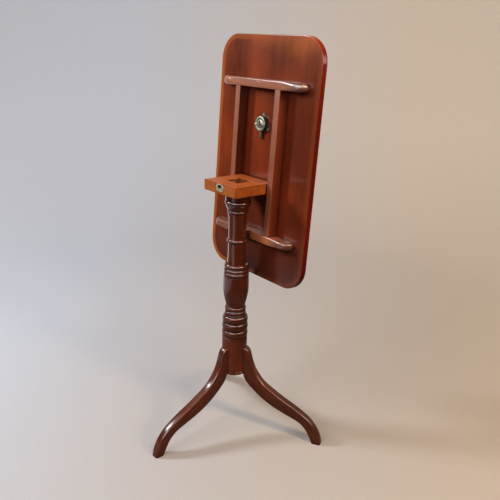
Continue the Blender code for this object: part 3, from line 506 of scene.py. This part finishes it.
SPRING_TURNS, SPRING_START, SPRING_END, SPRING_RADIUS, WIRE_RADIUS = 9, -17.0, -11.4, 2.1, 0.32
coil = bpy.data.curves.new("spring_wire", "CURVE")
coil.dimensions = "3D"
coil.bevel_depth = WIRE_RADIUS * MM
coil.bevel_resolution = 3
wire = coil.splines.new("POLY")
steps = SPRING_TURNS * 20
wire.points.add(steps)
for i, point in enumerate(wire.points):
    turn = math.tau * SPRING_TURNS * i / steps
    x, z = SPRING_RADIUS * math.cos(turn), BOLT_LEVEL + SPRING_RADIUS * math.sin(turn)
    y = SPRING_START + (SPRING_END - SPRING_START) * i / steps
    point.co = (*(catch_place @ (Vector((x, y, z)) * MM)), 1.0)
spring_curve = bpy.data.objects.new("spring_curve", coil)
winding = bmesh.new()
winding.from_mesh(bpy.data.meshes.new_from_object(spring_curve))
bpy.data.objects.remove(spring_curve)
spring = add_piece("bolt_spring", winding, "top", ["catch_spring"], sharp=180)

# %% [markdown]
# ## The striker
# The bolt's mouth on the block's front edge is faced with a small brass plate, held by two countersunk
# screws. Its corners are rounded, and its arrises are worn bright by the bolt.

# %% Make the striker plate
SCREW_PLACES = (-9.5, 9.5)
plate_middle = (striker_low.z + striker_high.z) / 2
upright = Matrix(((1, 0, 0, 0), (0, 0, -1, 0), (0, 1, 0, 0), (0, 0, 0, 1)))
plate_line = rounded_rectangle(STRIKER_HALF_WIDTH, STRIKER_HEIGHT / 2, STRIKER_CORNER, 8)
plate_line = [(x, y + plate_middle) for x, y in plate_line]
blank = placed(sawn(plate_line, -striker_high.y, -striker_low.y), upright)
sinks = []
for x in SCREW_PLACES:
    at_face = Matrix.Translation((x * MM, striker_low.y * MM, middle_of("striker_screw_left").z))
    facing_front = at_face @ Matrix.Rotation(math.radians(90), 4, "X")
    sinks.append(placed(screw_sink(1.7, -3.0, -1.1, 0.05, 2.0), facing_front))
shaped = carve(blank, bolt_mouth(striker_low.y - 2, striker_high.y + 2), *sinks)
striker = add_piece("striker_face", shaped, "stand", ["striker_plate"], arris=0.4)

# %% [markdown]
# ## Wood, polish and metal
# Materials are made of nodes, and a few helpers keep the lines short. A node group is like a jig: built
# once, then used in every material that needs the effect, each time with its own values.

# %% Tools for making materials
def fill(tree, sockets, values):
    """Fills sockets, each with a constant or with another node's output."""
    for key, value in values.items():
        if isinstance(value, bpy.types.NodeSocket):
            tree.links.new(value, sockets[key])
        else:
            sockets[key].default_value = value


def add_node(tree, kind, inputs=None, **settings):
    """Adds a node, sets its options and fills its inputs."""
    node = tree.nodes.new("ShaderNode" + kind)
    for key, value in settings.items():
        setattr(node, key, value)
    fill(tree, node.inputs, inputs or {})
    return node


def calc(tree, operation, a, b=0.0, clamp=False):
    return add_node(tree, "Math", {0: a, 1: b}, operation=operation, use_clamp=clamp).outputs[0]


def times(tree, *values, clamp=False):
    product = values[0]
    for value in values[1:]:
        product = calc(tree, "MULTIPLY", product, value, clamp)
    return product


def spread(tree, value, low, high, start=0.0, end=1.0):
    """Maps a value from one range to another, and stops at its ends."""
    inputs = {"Value": value, "From Min": low, "From Max": high, "To Min": start, "To Max": end}
    return add_node(tree, "MapRange", inputs).outputs[0]


def blend(tree, share, a, b, mode="MIX"):
    """Mixes two colours. A plain (r, g, b) is taken too."""
    a, b = ((*colour, 1) if isinstance(colour, tuple) else colour for colour in (a, b))
    return add_node(tree, "Mix", {0: share, 6: a, 7: b}, data_type="RGBA", blend_type=mode).outputs[2]


def grey(tree, value):
    return add_node(tree, "CombineColor", {0: value, 1: value, 2: value}).outputs[0]


def stretched(tree, vector, scale):
    return add_node(tree, "Mapping", {"Vector": vector, "Scale": scale}).outputs[0]


def noise(tree, vector, scale, detail=2.0, roughness=0.5):
    inputs = {"Vector": vector, "Scale": scale, "Detail": detail, "Roughness": roughness}
    return add_node(tree, "TexNoise", inputs).outputs[0]


def distance_along(tree, place, onward):
    """How far a point lies in a direction."""
    return add_node(tree, "VectorMath", {0: place, 1: onward}, operation="DOT_PRODUCT").outputs["Value"]


def new_group(name, inputs, outputs):
    """Starts a node group. Each input comes with its usual value, and each output with its kind."""
    tree = bpy.data.node_groups.new(name, "ShaderNodeTree")
    for label, value in inputs.items():
        kind = "Float" if isinstance(value, float) else {3: "Vector", 4: "Color"}[len(value)]
        socket = tree.interface.new_socket(label, in_out="INPUT", socket_type="NodeSocket" + kind)
        socket.default_value = value
    for label, kind in outputs.items():
        tree.interface.new_socket(label, in_out="OUTPUT", socket_type="NodeSocket" + kind)
    start, end = tree.nodes.new("NodeGroupInput"), tree.nodes.new("NodeGroupOutput")
    return tree, start.outputs, end.inputs


def use_group(tree, group, inputs):
    return add_node(tree, "Group", inputs, node_tree=group).outputs


# %% [markdown]
# Mahogany has no strong rings. What one sees is a slow drift between red and brown, ribbons that run along
# the plank, and short dark pores like pencil dashes. All three are noise, stretched along the grain by
# different amounts. The group works in metres, with x along the grain, so the scale stays right on every
# piece.

# %% The grain of mahogany
grain, given, made = new_group(
    "mahogany grain",
    {"At": (0, 0, 0), "Pale": (0.3, 0.1, 0.04, 1), "Dark": (0.1, 0.03, 0.01, 1), "Ribbon": 0.5, "Drift": 0.5,
     "Pores": 0.4},
    {"Color": "Color", "Pore": "Float", "Figure": "Float"})
waver = times(grain, noise(grain, stretched(grain, given["At"], (1.0, 4.0, 4.0)), 2.5), 0.03)
shift = add_node(grain, "CombineXYZ", {"Y": waver, "Z": waver}).outputs[0]
bent = add_node(grain, "VectorMath", {0: given["At"], 1: shift}, operation="ADD").outputs[0]
ribbons = noise(grain, stretched(grain, bent, (1.6, 60.0, 60.0)), 1.0, 4.0, 0.62)
drifts = noise(grain, stretched(grain, bent, (4.5, 9.0, 9.0)), 1.0, 3.0)
fibres = noise(grain, stretched(grain, bent, (22.0, 620.0, 620.0)), 1.0, 2.0)
short_cells = stretched(grain, bent, (95.0, 1250.0, 1250.0))
cells = add_node(grain, "TexVoronoi", {"Vector": short_cells, "Scale": 1.0})
pores = spread(grain, cells.outputs["Distance"], 0.16, 0.34, 1.0, 0.0)
figure = calc(grain, "ADD", times(grain, spread(grain, ribbons, 0.34, 0.66), given["Ribbon"]),
              times(grain, spread(grain, drifts, 0.36, 0.64), given["Drift"]))
figure = calc(grain, "ADD", figure, times(grain, calc(grain, "SUBTRACT", fibres, 0.5), 0.5), True)
shade = calc(grain, "SUBTRACT", 1.0, times(grain, pores, given["Pores"]))
colour = blend(grain, 1.0, blend(grain, figure, given["Dark"], given["Pale"]), grey(grain, shade), "MULTIPLY")
fill(grain, made, {"Color": colour, "Pore": pores, "Figure": figure})
print("grain group has", len(grain.nodes), "nodes")

# %% [markdown]
# The board has one more mark: a border about as wide as a finger in a lighter orange, strongest at the left
# and weakest at the top. The mask is the distance from a rounded rectangle's edge, which takes only a few
# steps of arithmetic.

# %% The lighter border along the board's edge
border, given, made = new_group(
    "handled border",
    {"At": (0, 0, 0), "Half Length": 0.305, "Half Width": 0.184, "Corner": 0.062, "Reach": 0.012},
    {"Mask": "Float"})
spot = add_node(border, "SeparateXYZ", {"Vector": given["At"]}).outputs
past = []
for axis, half in (("X", "Half Length"), ("Y", "Half Width")):
    inner = calc(border, "SUBTRACT", given[half], given["Corner"])
    past.append(calc(border, "SUBTRACT", calc(border, "ABSOLUTE", spot[axis]), inner))
beyond = [calc(border, "POWER", calc(border, "MAXIMUM", value, 0.0), 2.0) for value in past]
corner_reach = calc(border, "SQRT", calc(border, "ADD", *beyond))
straight_reach = calc(border, "MINIMUM", calc(border, "MAXIMUM", *past), 0.0)
from_edge = calc(border, "SUBTRACT", given["Corner"], calc(border, "ADD", corner_reach, straight_reach))
uneven = times(border, calc(border, "SUBTRACT", noise(border, given["At"], 30.0, 2.0), 0.5), 0.008)
share = calc(border, "DIVIDE", calc(border, "ADD", from_edge, uneven), given["Reach"])
more_left = spread(border, spot["Y"], -0.16, 0.04, 1.0, 0.22)
less_high = spread(border, spot["X"], -0.30, -0.16, 0.6, 1.0)
off_arris = spread(border, from_edge, 0.0004, 0.0014)
held = times(border, spread(border, share, 1.25, 0.8), more_left, less_high, off_arris)
fill(border, made, {"Mask": held})
print("border group has", len(border.nodes), "nodes")

# %% [markdown]
# Age shows in two more places. Along the arrises, hands and cloths have worn the polish thin, so the wood
# is paler there. In the corners wax and dirt have gathered, and the same darkening is also painted shade in
# corners, grooves and the gaps between parts. The first mask compares the true normal with one that is
# rounded across the edge; the second asks how much of the open air a point can see.

# %% Worn arrises, and dirt and painted shade in corners
wear, given, made = new_group(
    "worn arrises", {"Width": 0.0015, "At": (0, 0, 0), "Amount": 1.0}, {"Mask": "Float"})
rounded = add_node(wear, "Bevel", {"Radius": given["Width"]}, samples=6).outputs[0]
facing = add_node(wear, "NewGeometry").outputs["Normal"]
edge = spread(wear, distance_along(wear, rounded, facing), 0.995, 0.93)
patchy = spread(wear, noise(wear, given["At"], 90.0, 3.0), 0.35, 0.62)
fill(wear, made, {"Mask": times(wear, edge, patchy, given["Amount"], clamp=True)})

# The corner mask is dirt and painted shade: it darkens every closed-in place, where shade falls.
dirt_and_shade, given, made = new_group(
    "dirt in corners", {"Reach": 0.012, "At": (0, 0, 0), "Amount": 1.0}, {"Mask": "Float"})
open_air = add_node(dirt_and_shade, "AmbientOcclusion", {"Distance": given["Reach"]}, samples=8).outputs["AO"]
closed_in = spread(dirt_and_shade, open_air, 0.85, 0.35)
mottled = spread(dirt_and_shade, noise(dirt_and_shade, given["At"], 60.0, 3.0), 0.25, 0.6, 0.55, 1.0)
fill(dirt_and_shade, made, {"Mask": times(dirt_and_shade, closed_in, mottled, given["Amount"], clamp=True)})
print("wear group has", len(wear.nodes), "nodes, dirt group", len(dirt_and_shade.nodes))

# %% [markdown]
# French polish is many thin coats of shellac: a clear, slightly uneven skin over the wood. That is what the
# coat of the Principled shader is for. The wood below stays a little rough, and the coat gives the small
# sharp lights. The skin isn't quite flat: it sinks into the pores, and rubbing leaves it smoother in some
# places than others.

# %% A function for polished wood
def towards(along, across):
    """Turns the scene's axes so that x runs along the grain."""
    x = along.normalized()
    z = x.cross(across).normalized()
    return Matrix((x, z.cross(x), z)).to_euler()


def toned(tree, colour, place, at, figure, end_tone):
    """Passes into another tone between two distances along a direction, unevenly and with its figure."""
    onward, start, end, tone = end_tone
    reach = calc(tree, "ADD", distance_along(tree, place, onward), times(tree, noise(tree, at, 6.0), 0.16))
    figured = blend(tree, figure, tuple(0.5 * c for c in tone), tuple(1.4 * c for c in tone))
    return blend(tree, spread(tree, reach, start + 0.08, end + 0.08), colour, figured)


def lighter_border(tree, colour, place, centre, turn, bare):
    middle = add_node(tree, "VectorMath", {0: place, 1: centre}, operation="SUBTRACT").outputs[0]
    flat = add_node(tree, "Mapping", {"Vector": middle, "Rotation": turn}).outputs[0]
    return blend(tree, use_group(tree, border, {"At": flat})["Mask"], colour, bare)


def shade_sides(tree, colour, face, side_tint):
    """Paints shade on the sides: tints all that doesn't look along the face's own direction, there or back.
    """
    normal = add_node(tree, "TexCoord").outputs["Normal"]
    side = spread(tree, calc(tree, "ABSOLUTE", distance_along(tree, normal, face)), 0.55, 0.25)
    return blend(tree, side, colour, blend(tree, 1.0, colour, side_tint, "MULTIPLY"))


def bumps(tree, height, strength, depth):
    return add_node(tree, "Bump", {"Height": height, "Strength": strength, "Distance": depth}).outputs[0]


def new_material(name):
    material = bpy.data.materials.new(name)
    material.use_nodes = True
    tree = material.node_tree
    shader = tree.nodes["Principled BSDF"].inputs
    return material, tree, shader, add_node(tree, "TexCoord").outputs["Object"]


def polished_wood(name, pale, dark, grain_along, across, ribbon=0.5, drift=0.5, pore=0.35, rough=(0.34, 0.46),
                  coat=0.6, coat_rough=0.16, coat_ior=1.5, under_polish=0.1, ripples=0.25, offset=(0, 0, 0),
                  worn=(0.42, 0.17, 0.07), wear_amount=0.6, wear_width=0.0015,
                  soil_and_shade=(0.02, 0.009, 0.006), dirt_and_shade_amount=0.6, dirt_and_shade_reach=0.012,
                  end_tones=(), handled=None, side_shade=None):
    material, tree, shader, place = new_material(name)
    turn = towards(grain_along, across)
    at = add_node(tree, "Mapping", {"Vector": place, "Location": offset, "Rotation": turn}).outputs[0]
    wood = use_group(tree, grain, {"At": at, "Pale": (*pale, 1), "Dark": (*dark, 1), "Ribbon": ribbon,
                                   "Drift": drift, "Pores": pore})
    rubbed = use_group(tree, wear, {"At": at, "Amount": wear_amount, "Width": wear_width})["Mask"]
    # The corner mask is dirt and painted shade.
    soiled_and_shaded = use_group(tree, dirt_and_shade, {"At": at, "Amount": dirt_and_shade_amount, "Reach": dirt_and_shade_reach})["Mask"]
    colour = wood["Color"]
    for end_tone in end_tones:
        colour = toned(tree, colour, place, at, wood["Figure"], end_tone)
    if handled:
        centre, bare = handled
        colour = lighter_border(tree, colour, place, centre, turn, bare)
    if side_shade:
        colour = shade_sides(tree, colour, *side_shade)
    colour = blend(tree, soiled_and_shaded, blend(tree, rubbed, colour, worn), soil_and_shade)
    uneven = spread(tree, noise(tree, at, 14.0, 3.0), 0.3, 0.7, *rough)
    skin = times(tree, calc(tree, "SUBTRACT", 1.0, times(tree, soiled_and_shaded, 0.8)), coat)
    ripple = calc(tree, "SUBTRACT", times(tree, noise(tree, at, 120.0), 0.5), wood["Pore"])
    fill(tree, shader, {
        "Base Color": colour, "Roughness": calc(tree, "ADD", uneven, times(tree, soiled_and_shaded, 0.25), True),
        "Coat Weight": skin, "Coat Roughness": coat_rough, "Coat IOR": coat_ior,
        "Specular IOR Level": under_polish, "Normal": bumps(tree, ripple, ripples, 0.00015)})
    return material


def paint(material, *pieces):
    for piece in pieces:
        piece.data.materials.append(material)
    print(material.name, "is on", ", ".join(piece.name for piece in pieces))


# %% [markdown]
# The underside of the top is red-brown and lightly polished. The battens and bearers are of the same wood
# but paler, and on the bearers that also paints the sheen on their faces. The column and legs had a darker
# stain and a harder polish. The block was left almost bare, so it is lighter and more orange.
#
# No piece is one colour all along. So a wood can have end tones: from one distance to another in a
# direction it passes into a second tone, with its figure still in it. The board is darker at its foot and
# below its head, with a painted golden highlight along the head itself. The battens are dark at their right
# tips, the lower batten has a painted shadow at its left end, and the column's redder foot is a painted
# highlight. A side shade is painted shade and warm light on the faces that look sideways: the bearers'
# sides are darker than their faces, the left one's inner side most, and the board's edge is redder.

# %% Mix the woods of this table
up = Vector((0, 0, 1))
across_board = Vector((1, 0, 0))
down_board = tipped.to_3x3() @ Vector((0, 1, 0))
board_out = tipped.to_3x3() @ Vector((0, 0, 1))
board_centre = tipped @ Vector((0, BOARD_MIDDLE_Y * MM, UNDERSIDE * MM))
board_wood = polished_wood(
    "board mahogany", (0.330, 0.050, 0.012), (0.140, 0.026, 0.011), down_board, across_board,
    ribbon=0.2, drift=0.75, coat=0.5, coat_rough=0.17, under_polish=0.02, ripples=0.12,
    worn=(0.60, 0.30, 0.16), soil_and_shade=(0.012, 0.006, 0.004),
    end_tones=[(down_board, -0.68, -0.44, (0.115, 0.028, 0.018)),
               (-down_board, 0.86, 0.96, (0.215, 0.042, 0.015)),
               # Painted highlight: a golden band along the board's head.
               (-down_board, 1.035, 1.085, (0.42, 0.098, 0.018))],
    # The side shade paints the board's edge redder and darker, as the warm light and shade make it.
    handled=(board_centre, (0.46, 0.105, 0.020)), side_shade=(board_out, (1.3, 0.5, 0.3)))
woods = {}
dark_tip = (across_board, 0.095, 0.140, (0.170, 0.058, 0.034))
# Painted shadow: the lower batten darkens towards its left end, where the block and column shade it.
painted_shadow_end = (-across_board, -0.02, 0.10, (0.25, 0.095, 0.055))
for side, coat, end_tones in (("upper", 1.0, [dark_tip]), ("lower", 0.4, [dark_tip, painted_shadow_end])):
    woods["batten", side] = polished_wood(
        f"{side} batten mahogany", (0.600, 0.195, 0.080), (0.330, 0.092, 0.038), across_board, down_board,
        coat=coat, coat_rough=0.2, coat_ior=1.8, under_polish=0.3, offset=(0.4, 0.1, 0.3),
        worn=(0.60, 0.24, 0.11), wear_amount=0.2, end_tones=end_tones)
# Painted shade on the bearers' sides, darkest on the left bearer's inner side, which the right bearer shades;
# their pale faces carry a painted sheen.
for side, side_tint in (("left", (0.34, 0.26, 0.20)), ("right", (0.68, 0.42, 0.24))):
    woods["bearer", side] = polished_wood(
        f"{side} bearer mahogany", (0.420, 0.125, 0.055), (0.220, 0.058, 0.026), down_board, across_board,
        coat=0.5, coat_rough=0.4, under_polish=0.4, offset=(0.7, 0.5, 0.2), worn=(0.55, 0.26, 0.15),
        side_shade=(board_out, side_tint))
# On the block the arris colour is darker than the wood, so its edges show as dark lines.
block_wood = polished_wood(
    "block mahogany", (0.560, 0.155, 0.034), (0.350, 0.076, 0.014), across_board, up,
    pore=0.25, rough=(0.42, 0.55), coat=0.12, coat_rough=0.5, worn=(0.12, 0.035, 0.014), wear_amount=1.1,
    wear_width=0.004, soil_and_shade=(0.012, 0.005, 0.003), dirt_and_shade_amount=1.2, dirt_and_shade_reach=0.007)
turned_wood = polished_wood(
    "column mahogany", (0.150, 0.031, 0.011), (0.052, 0.011, 0.005), up, across_board,
    rough=(0.24, 0.34), coat=1.0, coat_rough=0.06, ripples=0.06, worn=(0.24, 0.06, 0.02), wear_amount=0.3,
    # Painted highlight: the column's foot passes into a redder, brighter tone.
    soil_and_shade=(0.004, 0.002, 0.0015), dirt_and_shade_amount=1.7, end_tones=[(-up, -0.29, -0.17, (0.24, 0.040, 0.010))])
for side, bearing in LEG_BEARINGS.items():
    woods["leg", side] = polished_wood(
        f"{side} leg mahogany", (0.205, 0.046, 0.018), (0.076, 0.018, 0.009),
        direction(bearing) - 0.9 * up, direction(bearing + 90), rough=(0.24, 0.34), coat=0.7, coat_rough=0.2,
        coat_ior=1.55, ripples=0.06, offset=(0.1 * len(side), 0.2, 0.0), worn=(0.30, 0.10, 0.045),
        wear_amount=0.5, soil_and_shade=(0.008, 0.004, 0.003), dirt_and_shade_amount=0.8, dirt_and_shade_reach=0.02)

# %% Give each wooden piece its wood
paint(turned_wood, column, tenon)
paint(block_wood, block, pintles)
paint(board_wood, board)
for piece in several:
    kind, side = piece.name.split("_")[1:3]
    paint(woods[kind, side], piece)

# %% [markdown]
# Old brass goes dull and slightly green, then almost black where it isn't touched, and stays bright where
# it is. So the metal's colour is three layers: bare brass on the arrises, a grey-green skin, and dark soil
# with painted shade in the corners. On the catch's case the dark layer also goes by the distance from the
# board, so its sides are darker below the bright rim. The plate and the bolt get a nearly black brass,
# partly patina and partly painted shade. Steel and iron are made the same way, with a brown skin.

# %% A function for old metal
def old_metal(name, bare, skin, soil_and_shade, rough=(0.28, 0.5), wear_amount=1.0, dirt_and_shade_reach=0.006, dark_below=None):
    """Three layers of old metal. What lies low along a direction can be left dark."""
    material, tree, shader, place = new_material(name)
    patches = spread(tree, noise(tree, place, 160.0, 4.0, 0.6), 0.35, 0.65)
    rubbed = use_group(tree, wear, {"At": place, "Amount": wear_amount, "Width": 0.0008})["Mask"]
    soiled_and_shaded = use_group(tree, dirt_and_shade, {"At": place, "Amount": 0.9, "Reach": dirt_and_shade_reach})["Mask"]
    cover = times(tree, spread(tree, patches, 0.0, 1.0, 0.6, 1.0), calc(tree, "SUBTRACT", 1.0, rubbed),
                  clamp=True)
    if dark_below:
        onward, low, high = dark_below
        low_darkening = spread(tree, distance_along(tree, place, onward), low, high, 0.85, 0.0)
        soiled_and_shaded = calc(tree, "MAXIMUM", soiled_and_shaded, low_darkening)
    dull = times(tree, calc(tree, "MAXIMUM", cover, soiled_and_shaded), 0.45)
    fill(tree, shader, {
        "Base Color": blend(tree, soiled_and_shaded, blend(tree, cover, bare, skin), soil_and_shade),
        "Metallic": calc(tree, "SUBTRACT", 1.0, dull), "Roughness": spread(tree, patches, 0.0, 1.0, *rough),
        "Normal": bumps(tree, noise(tree, place, 900.0, 3.0), 0.3, 0.0001)})
    return material


underside_out = -board_out
board_level = underside_out.dot(board_centre)
brass = old_metal("old brass", (0.66, 0.56, 0.33), (0.40, 0.42, 0.31), (0.035, 0.035, 0.025))
catch_brass = old_metal("catch brass", (0.40, 0.36, 0.25), (0.235, 0.25, 0.195), (0.030, 0.032, 0.024),
                        dark_below=(underside_out, board_level + 0.0104, board_level + 0.0118))
# Nearly black brass, partly patina and partly painted shade on the plate and the bolt below the case.
patina_and_shade_brass = old_metal("plate brass", (0.36, 0.31, 0.20), (0.075, 0.060, 0.040), (0.020, 0.016, 0.012),
                        wear_amount=0.4)
striker_brass = old_metal("striker brass", (0.92, 0.82, 0.58), (0.66, 0.58, 0.40), (0.030, 0.022, 0.014),
                          dirt_and_shade_reach=0.003)
steel = old_metal("browned steel", (0.40, 0.38, 0.36), (0.07, 0.06, 0.055), (0.02, 0.016, 0.014))
iron = old_metal("waxed iron", (0.20, 0.19, 0.18), (0.045, 0.040, 0.038), (0.015, 0.012, 0.010),
                 rough=(0.45, 0.65))
paint(catch_brass, case)
paint(patina_and_shade_brass, plate)
paint(brass, knob)
paint(striker_brass, striker)
paint(steel, spring)

# %% Dress the solids that stay as they are
# The bolt takes the nearly black brass: painted shade under the catch's case.
FINISH_BY_START = {"catch_bolt": patina_and_shade_brass, "catch_screw": brass, "striker_screw": brass, "strap": iron,
                   "screw": iron, "tenon_wedge": turned_wood}
for name, node in frame["nodes"].items():
    if not node.hide_render:
        finish = next(material for start, material in FINISH_BY_START.items() if name.startswith(start))
        node.data.materials.clear()
        paint(finish, node)

# %% [markdown]
# ## The studio
# The table stood before a seamless pale cloth. We build a round cove: a floor that curves up into a wall on
# all sides, so that every view has a plain background.

# %% Sweep up a floor and wall
FLOOR_RADIUS, BEND_RADIUS, WALL_HEIGHT, COVE_SIDES = 2700.0, 1100.0, 3200.0, 128
bend = arc((FLOOR_RADIUS - BEND_RADIUS, BEND_RADIUS), BEND_RADIUS, -90, 0, 16)
cove_line = [(20.0, 0.0), (600.0, 0.0), *bend, (FLOOR_RADIUS, WALL_HEIGHT)]
backdrop = linked("studio_cove", finished_mesh("studio_cove", turned(cove_line, COVE_SIDES, caps=(0,))))
backdrop.data.shade_smooth()
print("cove has", len(backdrop.data.polygons), "faces")

# %% [markdown]
# The cloth is cool at the left and warm at the right, as the photograph's light makes it. But dark polished
# wood is a mirror, and in a room that is pale all round it turns grey. A photographer therefore keeps the
# side behind the camera dark. We do the same: there the paper is pale to the camera only, and dark to every
# other ray. Its background glow is also for the camera only, so it puts no light on the table.

# %% Tint the paper
COOL_PAPER, WARM_PAPER, DARK_PAPER = (0.56, 0.585, 0.655), (0.69, 0.525, 0.340), (0.05, 0.045, 0.04)
DARK_SIDE = 40
paper, tree, shader, place = new_material("pale paper")
fibre = grey(tree, spread(tree, noise(tree, place, 240.0, 3.0), 0.3, 0.7, 0.96, 1.04))
warmth = spread(tree, distance_along(tree, place, (0.65, 0.76, 0.0)), -0.7, 1.0, 0.0, 0.68)
pale_paper = blend(tree, 1.0, blend(tree, warmth, COOL_PAPER, WARM_PAPER), fibre, "MULTIPLY")
away = add_node(tree, "VectorMath", {0: place}, operation="LENGTH").outputs["Value"]
behind = distance_along(tree, place, direction(DARK_SIDE))
behind_camera = times(tree, spread(tree, behind, -1.3, -0.6), spread(tree, away, 0.35, 0.9, 0.75, 1.0))
rays = add_node(tree, "LightPath").outputs
unseen = calc(tree, "SUBTRACT", 1.0, rays["Is Camera Ray"])
tone = blend(tree, times(tree, behind_camera, unseen), pale_paper, DARK_PAPER)
fill(tree, shader, {"Base Color": tone, "Emission Color": pale_paper, "Roughness": 0.9,
                    "Specular IOR Level": 0.2})
paint(paper, backdrop)

# %% [markdown]
# What a polish mirrors is half of its look. The photograph's room had a pale floor at the left, whose sheen
# lies on the lower part of the board, and tall windows, which draw thin lights along the column and legs.
# We put both on the paper, for mirroring rays alone: the picture's background and the light on the table
# don't change.

# %% Let the polish mirror a pale floor and windows
LEFT_SIDE = (-0.77, -0.64, 0.0)
WINDOWS = {-8: 17.0, 35: 32.0, 80: 17.0, 121: 24.0}
left = distance_along(tree, place, LEFT_SIDE)
pale_left = times(tree, spread(tree, left, 0.5, 0.8), spread(tree, left, 1.25, 1.5, 4.2, 0.0))
in_mirrors = calc(tree, "MAXIMUM", spread(tree, behind_camera, 0.0, 1.0, 0.4, 0.0), pale_left)
height = add_node(tree, "SeparateXYZ", {"Vector": place}).outputs["Z"]
sill_and_head = times(tree, spread(tree, height, 1.1, 1.2), spread(tree, height, 2.7, 2.6))
for bearing, brightness in WINDOWS.items():
    out = distance_along(tree, place, direction(bearing))
    pane = times(tree, spread(tree, out, 2.50, 2.54, 0.0, brightness), sill_and_head)
    in_mirrors = calc(tree, "MAXIMUM", in_mirrors, pane)
mirrored = times(tree, rays["Is Glossy Ray"], in_mirrors)
shown = calc(tree, "MAXIMUM", rays["Is Camera Ray"], mirrored)
glow = times(tree, shown, spread(tree, away, 0.2, 2.6, 0.14, 0.46))
fill(tree, shader, {"Emission Strength": glow})
print("paper has", len(tree.nodes), "nodes and", len(WINDOWS), "windows for the polish")

# %% [markdown]
# One cool window, far to the left, throws the block's crisp shadow on the board and draws the highlight on
# the batten. A small lamp at the camera's left and a broad one above soften its shadows, and two warm lamps
# at the right give the block's side and the board's edge their orange. They are weak enough that a colour
# renders about as it is written.

# %% Hang the lights
LIGHTS = [
    # name, azimuth, elevation, distance, size, watts, colour, height that it faces
    ("window", -47, 26, 2.2, (0.40, 0.50), 32, (0.93, 0.97, 1.0), 0.70),
    ("left softbox", 12, 30, 2.1, (0.40, 0.30), 6.5, (1.0, 0.88, 0.74), 0.55),
    ("high softbox", -14, 52, 2.2, (1.2, 0.9), 10.5, (1.0, 0.95, 0.90), 0.55),
    ("right softbox", 102, 28, 2.1, (0.35, 0.35), 12, (1.0, 0.68, 0.38), 0.55),
    ("warm high lamp", 90, 48, 2.1, (0.35, 0.35), 10, (1.0, 0.70, 0.42), 0.55),
]
for name, azimuth, elevation, distance, size, watts, colour, aim_height in LIGHTS:
    lamp = bpy.data.lights.new(name, "AREA")
    lamp.shape, lamp.energy, lamp.color = "RECTANGLE", watts, colour
    lamp.size, lamp.size_y = size
    out = direction(azimuth, elevation)
    facing = out.to_track_quat("Z", "Y").to_matrix().to_4x4()
    light = linked(name, lamp)
    light.matrix_world = Matrix.Translation(Vector((0, 0.03, aim_height)) + out * distance) @ facing
    light.visible_camera = False
world = bpy.data.worlds.new("studio air")
bpy.context.scene.world = world
world.use_nodes = True
air = world.node_tree.nodes["Background"].inputs
fill(world.node_tree, air, {"Color": (0.92, 0.95, 1.0, 1), "Strength": 0.06})
print(len(LIGHTS), "lights hung")

# %% [markdown]
# The camera stands where the photographer's did. Its place was worked out from the table itself: the
# corners of the top and block, the feet, and the line of the column all have to land where they are in the
# photograph.

# %% Set up the camera
CAMERA_PLACE = (1.1774, -0.8916, 1.0474)
CAMERA_AZIMUTH, CAMERA_ELEVATION, CAMERA_ROLL = 49.76, 19.07, 1.94
FOCAL_PIXELS, IMAGE_PIXELS = 615.5, 500
camera_data = bpy.data.cameras.new("photographer")
camera_data.sensor_width = 36.0
camera_data.lens = FOCAL_PIXELS / IMAGE_PIXELS * camera_data.sensor_width
camera_data.clip_start, camera_data.clip_end = 0.05, 50.0
camera = linked("photographer", camera_data)
ahead = -direction(CAMERA_AZIMUTH, CAMERA_ELEVATION)
level = ahead.cross(up).normalized()
look = Matrix((level, level.cross(ahead), -ahead)).transposed().to_4x4()
rolled = look @ Matrix.Rotation(math.radians(CAMERA_ROLL), 4, "Z")
camera.matrix_world = Matrix.Translation(CAMERA_PLACE) @ rolled
bpy.context.scene.camera = camera
bpy.context.scene.view_settings.view_transform = "Standard"
print("lens", round(camera_data.lens, 2), "mm")
